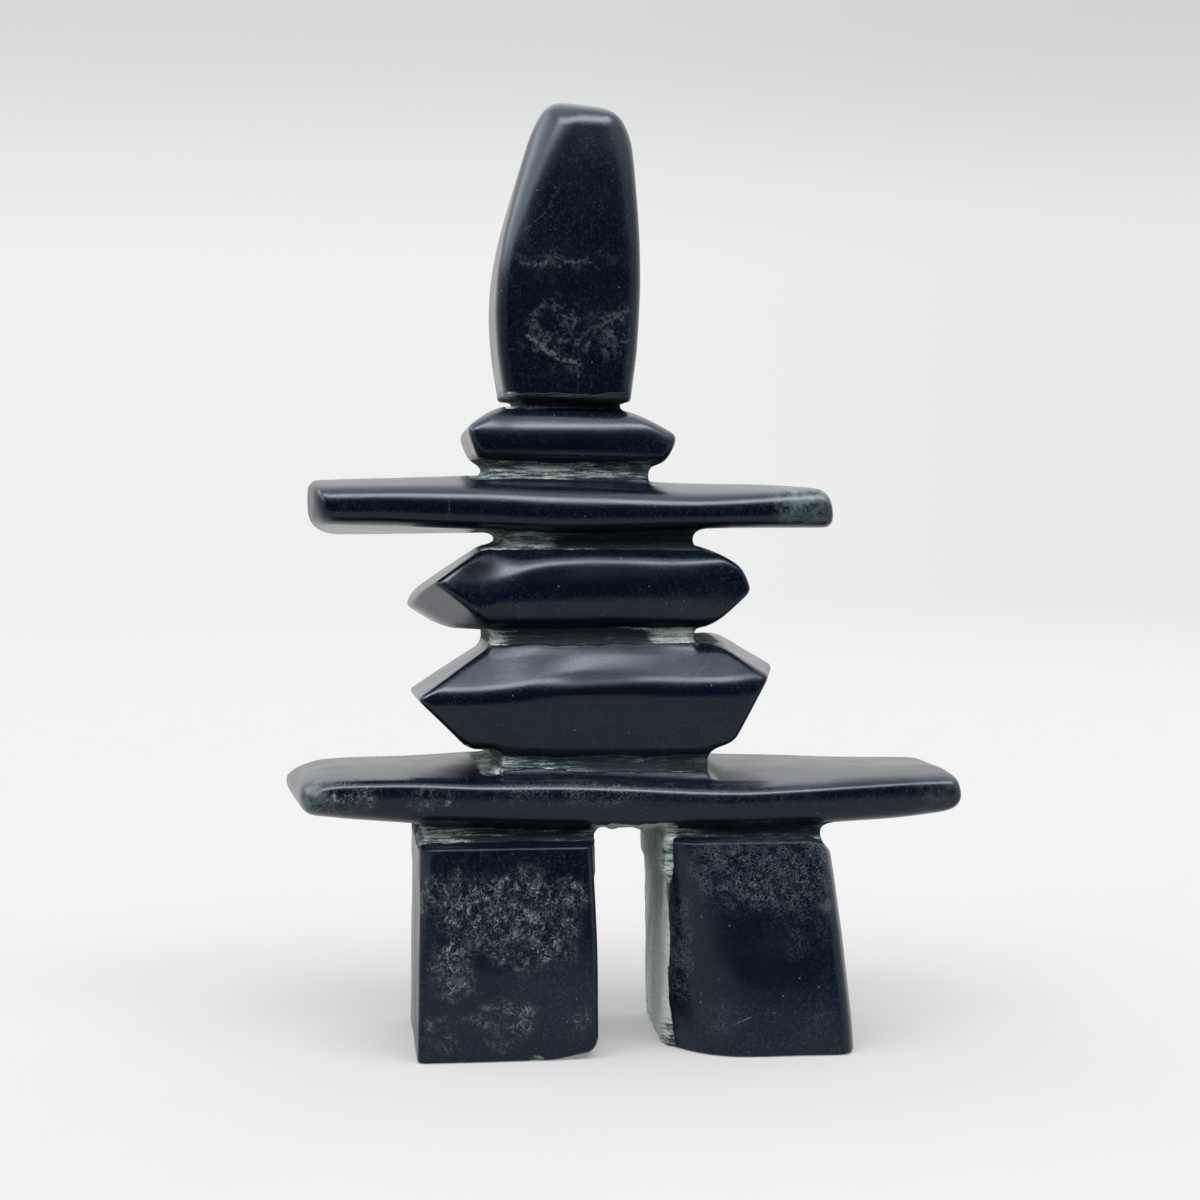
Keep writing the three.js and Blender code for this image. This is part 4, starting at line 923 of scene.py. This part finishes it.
def shells(shift, size, turns, wobble):
    """thin arcs about scattered centres, as crystals lie in a slice"""
    p = g.vec("ADD", g.vec("ADD", mm, shift), g.vec("SCALE", wander, scale=wobble))
    p = g.vec("ADD", p, g.vec("SCALE", small, scale=0.8))
    d = g.cells(p, size)
    tone = g.split(g.cells(p, size, out="Color"))[0]
    a = g.math("FRACT", g.math("ADD", g.math("MULTIPLY", d, turns), tone))
    a = g.ramp(g.math("ABSOLUTE", g.math("SUBTRACT", a, 0.5)), 0.21, 0.03)
    part = g.noise(g.vec("ADD", mm, shift), 0.48, 3.0, 0.6)
    return g.math("MULTIPLY", a, g.ramp(part, 0.40, 0.56)), tone


s1, t1 = shells((4.0, 9.0, 2.0), 0.30, 2.7, 4.0)
s2, t2 = shells((24.0, 3.0, 62.0), 0.52, 2.2, 3.0)
plume = g.ramp(g.math("ABSOLUTE", g.math("SUBTRACT", f1, 0.5)), 0.026, 0.0)
patch = g.noise(g.vec("ADD", mm, (5.0, 50.0, 3.0)), 0.12, 4.0, 0.62)
tuft = g.noise(g.vec("ADD", mm, (15.0, 5.0, 33.0)), 0.33, 3.0, 0.6)
feather = g.math("ADD", g.math("MULTIPLY", s1, g.ramp(t1, 0.1, 0.9, 0.35, 1.0)), g.math("MULTIPLY", s2, g.ramp(t2, 0.2, 0.9, 0.15, 0.75)))
feather = g.math("ADD", feather, g.math("MULTIPLY", plume, 0.35))
feather = g.math("ADD", feather, g.math("MULTIPLY", g.ramp(tuft, 0.50, 0.72), 0.20))
feather = g.math("MULTIPLY", feather, g.ramp(patch, 0.34, 0.54, 0.30, 1.0))
feather = g.math("MULTIPLY", feather, g.ramp(tuft, 0.34, 0.60, 0.30, 1.0))
feather = g.math("MULTIPLY", feather, g.ramp(crystal, 0.06, 0.75), clamp=True)
body = g.mix(feather, body, (0.104, 0.137, 0.130))
black = g.math("MULTIPLY", g.ramp(f1, 0.50, 0.38), g.math("MULTIPLY", g.ramp(crystal, 0.1, 0.6), 0.85), clamp=True)
body = g.mix(g.math("MULTIPLY", black, g.math("SUBTRACT", 1.0, g.math("MULTIPLY", feather, 0.6))), body, (0.0006, 0.0010, 0.0019))

# worm-like stipple
w1 = g.noise(g.vec("ADD", mm_s, (2.0, 91.0, 4.0)), 0.62, 3.0, 0.6, 2.2)
worm = g.ramp(g.math("ABSOLUTE", g.math("SUBTRACT", w1, 0.5)), 0.050, 0.0)
worm = g.math("MULTIPLY", worm, g.ramp(g.noise(mm, 0.30, 3.0, 0.6), 0.36, 0.60, 0.15, 1.0))
worm = g.math("MULTIPLY", worm, g.ramp(stipple, 0.05, 0.95), clamp=True)
body = g.mix(g.math("MULTIPLY", worm, 0.85), body, (0.064, 0.083, 0.088))

# green-grey mottling, partly the stone's own, partly painted reflection on the end facets of the arms and the lintel
m1 = g.noise(mm_w, 0.30, 5.0, 0.68, 0.6)
mottle_and_reflection_mix = g.math("MULTIPLY", g.ramp(m1, 0.36, 0.66), g.ramp(mottle_and_reflection, 0.05, 0.9), clamp=True)
body = g.mix(g.math("MULTIPLY", mottle_and_reflection_mix, 0.8), body, (0.066, 0.088, 0.086))

# thin veins and scratches
line = g.math("ADD", vein_at, g.math("MULTIPLY", g.math("SUBTRACT", g.noise(mm, 1.2, 3.0, 0.6), 0.5), 2.8))
line = g.ramp(g.math("ABSOLUTE", line), 1.35, 0.0)
line = g.math("MULTIPLY", g.math("MULTIPLY", line, vein), g.ramp(g.noise(mm, 0.8, 3.0, 0.6), 0.40, 0.60, 0.05, 1.0), clamp=True)
body = g.mix(line, body, (0.105, 0.130, 0.130))

# bright flecks
fl = g.cells(g.vec("ADD", mm, (3.3, 8.1, 1.7)), 0.42)
keep = g.cells(g.vec("ADD", mm, (3.3, 8.1, 1.7)), 0.42, out="Color")
keep = g.split(keep)[0]
spot = g.math("MULTIPLY", g.ramp(fl, 0.14, 0.06), g.ramp(g.math("SUBTRACT", g.math("ADD", keep, g.math("MULTIPLY", fleck, 0.35)), 0.98), 0.0, 0.05))
body = g.mix(g.math("MULTIPLY", spot, 0.45), body, (0.12, 0.15, 0.155))

# --- raw sawn and filed stone ------------------------------------------------
lay = g.noise(g.vec("MULTIPLY", mm_s, (0.10, 0.10, 1.55)), 1.0, 4.0, 0.62)
lay2 = g.noise(g.vec("MULTIPLY", mm_s, (0.9, 0.16, 0.22)), 1.0, 3.0, 0.6)
speck = g.noise(mm, 2.2, 3.0, 0.7)
rawc = g.mix(g.ramp(g.noise(mm, 0.16, 4.0, 0.6), 0.34, 0.66), (0.250, 0.292, 0.262), (0.370, 0.412, 0.376))
rawc = g.mix(g.ramp(lay, 0.42, 0.66), rawc, (0.125, 0.150, 0.138), "MIX")
rawc = g.mix(g.math("MULTIPLY", g.ramp(lay, 0.47, 0.28), 0.5), rawc, (0.34, 0.37, 0.345))
rawc = g.mix(g.math("MULTIPLY", g.ramp(lay2, 0.52, 0.72), 0.35), rawc, (0.095, 0.115, 0.105))
rawc = g.mix(g.math("MULTIPLY", g.ramp(speck, 0.50, 0.80), 0.30), rawc, (0.33, 0.36, 0.34))
rawc = g.mix(g.math("MULTIPLY", pale, 0.55), rawc, (0.60, 0.64, 0.58))
thread = g.noise(g.vec("MULTIPLY", mm_s, (0.22, 0.22, 3.1)), 1.0, 3.0, 0.6)
st = g.math("ADD", stain, g.math("MULTIPLY", g.math("SUBTRACT", lay, 0.5), 1.0))
st = g.math("ADD", st, g.math("MULTIPLY", g.math("SUBTRACT", thread, 0.5), 1.25))
st = g.ramp(st, 0.18, 0.92)
rawc = g.mix(g.math("MULTIPLY", g.ramp(st, 0.0, 0.55, smooth=False), 0.92), rawc, (0.052, 0.080, 0.076))
rawc = g.mix(g.math("MULTIPLY", g.ramp(st, 0.42, 1.0, smooth=False), 0.96), rawc, (0.0050, 0.0085, 0.0100))

edge = g.math("ADD", raw, g.math("MULTIPLY", g.math("SUBTRACT", g.noise(mm_s, 0.9, 3.0, 0.6), 0.5), 0.55))
is_raw = g.ramp(edge, 0.38, 0.62)
colour = g.mix(is_raw, body, rawc)
rim = g.ramp(g.math("ABSOLUTE", g.math("SUBTRACT", edge, 0.52)), 0.24, 0.04)
rim = g.math("MULTIPLY", rim, g.ramp(g.noise(mm, 0.5, 3.0, 0.6), 0.36, 0.56, 0.25, 0.92))
colour = g.mix(rim, colour, (0.0022, 0.0036, 0.0044))

# --- gloss -------------------------------------------------------------------
rub = g.noise(mm, 0.09, 3.0, 0.6)
rough = g.ramp(rub, 0.30, 0.70, 0.205, 0.275, smooth=False)
rough = g.math("ADD", rough, g.math("MULTIPLY", g.math("ADD", feather, g.math("MULTIPLY", mottle_and_reflection_mix, 0.8)), 0.10))
rough = g.math("ADD", rough, g.math("MULTIPLY", g.ramp(grain, 0.5, 0.8), 0.05))
rough = g.math("ADD", rough, g.math("MULTIPLY", dull, 0.10))
rough = g.blend(is_raw, rough, g.blend(st, 0.86, 0.70))

# --- fine relief, in millimetres ---------------------------------------------
fine = g.noise(mm, 0.55, 4.0, 0.62)
brush = g.noise(g.vec("MULTIPLY", mm, (2.4, 2.4, 0.20)), 1.0, 2.0, 0.6)
h_pol = g.math("ADD", g.math("MULTIPLY", fine, 0.022), g.math("MULTIPLY", tooth, 0.0065))
h_pol = g.math("ADD", h_pol, g.math("MULTIPLY", brush, 0.004))
h_pol = g.math("ADD", h_pol, g.math("MULTIPLY", g.ramp(pits, 0.22, 0.05), -0.006))
h_pol = g.math("ADD", h_pol, g.math("MULTIPLY", g.math("MULTIPLY", f1, crystal), 0.07))
h_pol = g.math("ADD", h_pol, g.math("MULTIPLY", g.math("MULTIPLY", worm, stipple), 0.012))
h_pol = g.math("ADD", h_pol, g.math("MULTIPLY", line, -0.02))
h_raw = g.math("ADD", g.math("MULTIPLY", lay, 0.42), g.math("MULTIPLY", lay2, 0.22))
h_raw = g.math("ADD", h_raw, g.math("MULTIPLY", speck, 0.10))
height = g.blend(is_raw, h_pol, h_raw)
bump = nt.nodes.new("ShaderNodeBump")
bump.inputs["Strength"].default_value = 1.0
bump.inputs["Distance"].default_value = 0.001
g.put(bump.inputs["Height"], height)

bsdf = nt.nodes.new("ShaderNodeBsdfPrincipled")
g.put(bsdf.inputs["Base Color"], colour)
g.put(bsdf.inputs["Roughness"], rough)
bsdf.inputs["IOR"].default_value = 1.42
shine = g.math("SUBTRACT", 0.5, g.math("MULTIPLY", g.math("MAXIMUM", dull, g.math("MULTIPLY", is_raw, 0.6)), 0.40))
g.put(bsdf.inputs["Specular IOR Level"], shine)
bsdf.inputs["Metallic"].default_value = 0.0
bsdf.inputs["Specular Tint"].default_value = (0.68, 0.85, 1.0, 1.0)
g.put(bsdf.inputs["Normal"], bump.outputs["Normal"])
out = nt.nodes.new("ShaderNodeOutputMaterial")
nt.links.new(bsdf.outputs[0], out.inputs["Surface"])
me.materials.append(mat)

# ---------------------------------------------------------------------------
# pale floor, light tent and camera
# ---------------------------------------------------------------------------
scene = bpy.context.scene
scene.view_settings.view_transform = "Standard"

R = 4.0
fl_me = bpy.data.meshes.new("floor")
ring = [(0.0, 0.0, 0.0)]
faces = []
radii = (0.3, 0.8, 1.8, R)
for i, r in enumerate(radii):
    for j in range(64):
        a = 2 * math.pi * j / 64
        ring.append((r * math.cos(a), r * math.sin(a), 0.0))
for j in range(64):
    faces.append((0, 1 + j, 1 + (j + 1) % 64))
for i in range(len(radii) - 1):
    for j in range(64):
        a, b = 1 + 64 * i + j, 1 + 64 * i + (j + 1) % 64
        faces.append((a, a + 64, b + 64, b))
fl_me.from_pydata(ring, [], faces)
floor = bpy.data.objects.new("floor", fl_me)
scene.collection.objects.link(floor)
floor.location.z = -0.00002
fm = bpy.data.materials.new("pale_floor")
fm.use_nodes = True
ft = fm.node_tree
ft.nodes.clear()
q = Nodes(ft)
fco = ft.nodes.new("ShaderNodeTexCoord").outputs["Object"]
fs = q.split(fco)
far = q.vec("LENGTH", fco)
fade = q.ramp(far, 0.9, 3.2)
paper = q.mix(q.noise(fco, 40.0, 3.0, 0.5), (0.189, 0.189, 0.189), (0.195, 0.195, 0.195))
dif = ft.nodes.new("ShaderNodeBsdfDiffuse")
q.put(dif.inputs["Color"], paper)
clear = ft.nodes.new("ShaderNodeBsdfTransparent")
# past the front edge of the paper the room is dark, which only the stone's polish shows
path = ft.nodes.new("ShaderNodeLightPath")
cut = q.ramp(fs[1], -0.150, -0.240)
cut = q.math("MULTIPLY", cut, q.math("SUBTRACT", 1.0, path.outputs["Is Camera Ray"]))
cut = q.math("MAXIMUM", cut, fade)
glow = ft.nodes.new("ShaderNodeEmission")
glow.inputs["Color"].default_value = (1.0, 1.0, 1.0, 1.0)
glow.inputs["Strength"].default_value = 0.235
both = ft.nodes.new("ShaderNodeAddShader")
ft.links.new(dif.outputs[0], both.inputs[0]); ft.links.new(glow.outputs[0], both.inputs[1])
mx = ft.nodes.new("ShaderNodeMixShader")
q.put(mx.inputs[0], cut)
ft.links.new(both.outputs[0], mx.inputs[1]); ft.links.new(clear.outputs[0], mx.inputs[2])
fo = ft.nodes.new("ShaderNodeOutputMaterial")
ft.links.new(mx.outputs[0], fo.inputs["Surface"])
fl_me.materials.append(fm)
floor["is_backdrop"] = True

world = bpy.data.worlds.new("tent")
scene.world = world
world.use_nodes = True
wt = world.node_tree
wt.nodes.clear()
w = Nodes(wt)
d = wt.nodes.new("ShaderNodeTexCoord").outputs["Generated"]
d = w.vec("NORMALIZE", d)
dx, dy, dz = w.split(d)
flat = w.math("SQRT", w.math("MAXIMUM", w.math("SUBTRACT", 1.0, w.math("MULTIPLY", dz, dz)), 0.0001))
fr = w.math("DIVIDE", w.math("MULTIPLY", dy, -1.0), flat)          # 1 straight ahead of the front
# what the polish sees: white cloth with a bright top and a lamp row above the front,
# which is open and dark
lowf = w.ramp(dz, 0.62, 0.50)
openf = w.math("MULTIPLY", w.ramp(fr, 0.60, 0.86), lowf)
top = w.ramp(dz, 0.22, 0.86)
cloth = w.mix(top, (0.86, 0.86, 0.86), (2.55, 2.55, 2.60))
row = w.math("MULTIPLY", w.ramp(dz, 0.62, 0.70), w.ramp(dz, 0.88, 0.81))
row = w.math("MULTIPLY", row, w.ramp(fr, 0.35, 0.70))
lf = w.math("DIVIDE", w.math("MULTIPLY", dx, -1.0), flat)           # 1 straight out to the left
left = w.math("MULTIPLY", w.ramp(dz, 0.22, 0.36), w.ramp(dz, 0.72, 0.56))
left = w.math("MULTIPLY", left, w.ramp(lf, 0.60, 0.86))
lit = w.mix(openf, cloth, (0.021, 0.038, 0.080))
wp = wt.nodes.new("ShaderNodeLightPath")
lit = w.mix(row, lit, w.mix(wp.outputs["Is Glossy Ray"], (16.0, 15.9, 16.2), (19.4, 16.7, 16.0)))
lit = w.mix(left, lit, (5.0, 5.05, 5.2))
# what the camera sees behind the cairn
rise = w.ramp(dz, 0.09, 0.20)
side = w.ramp(dx, 0.05, 0.38)
back = w.mix(rise, (0.868, 0.872, 0.870), (0.690, 0.695, 0.700))
back = w.mix(side, back, (0.93, 0.94, 0.94), "MULTIPLY")
sky = w.mix(wp.outputs["Is Camera Ray"], lit, back)
bg = wt.nodes.new("ShaderNodeBackground")
w.put(bg.inputs["Color"], sky)
bg.inputs["Strength"].default_value = 1.0
wo = wt.nodes.new("ShaderNodeOutputWorld")
wt.links.new(bg.outputs[0], wo.inputs["Surface"])


def panel(name, at, to, size, power, colour=(1, 1, 1)):
    li = bpy.data.lights.new(name, "AREA")
    li.shape = "RECTANGLE"; li.size, li.size_y = size
    li.energy = power; li.color = colour
    ob = bpy.data.objects.new(name, li)
    ob.location = at
    ob.rotation_euler = (Vector(to) - Vector(at)).to_track_quat("-Z", "Y").to_euler()
    ob.visible_camera = False
    scene.collection.objects.link(ob)
    return ob


panel("front_lamp", (0.0, -0.75, 1.25), (0.0, 0.0, 0.12), (1.2, 0.5), 1.2, (0.96, 0.97, 1.0))
panel("top_lamp", (0.0, 0.1, 1.7), (0.0, 0.0, 0.0), (1.8, 1.8), 2.0)

cam_data = bpy.data.cameras.new("camera")
cam_data.lens = 72.0
cam_data.sensor_width = 36.0
cam_data.clip_start = 0.01
cam_data.clip_end = 20.0
cam = bpy.data.objects.new("camera", cam_data)
cam.location = ((-86.574 + CENTRE[0]) / 1000, (-649.289 + CENTRE[1]) / 1000, 0.147)
cam.rotation_euler = Vector((0.12176, 0.99169, -0.04163)).to_track_quat("-Z", "Y").to_euler()
scene.collection.objects.link(cam)
scene.camera = cam

lo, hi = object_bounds()
print("bounds", CAD_BOX, [[round(float(v), 5) for v in lo], [round(float(v), 5) for v in hi]], "time", round(time.time() - T0, 1))
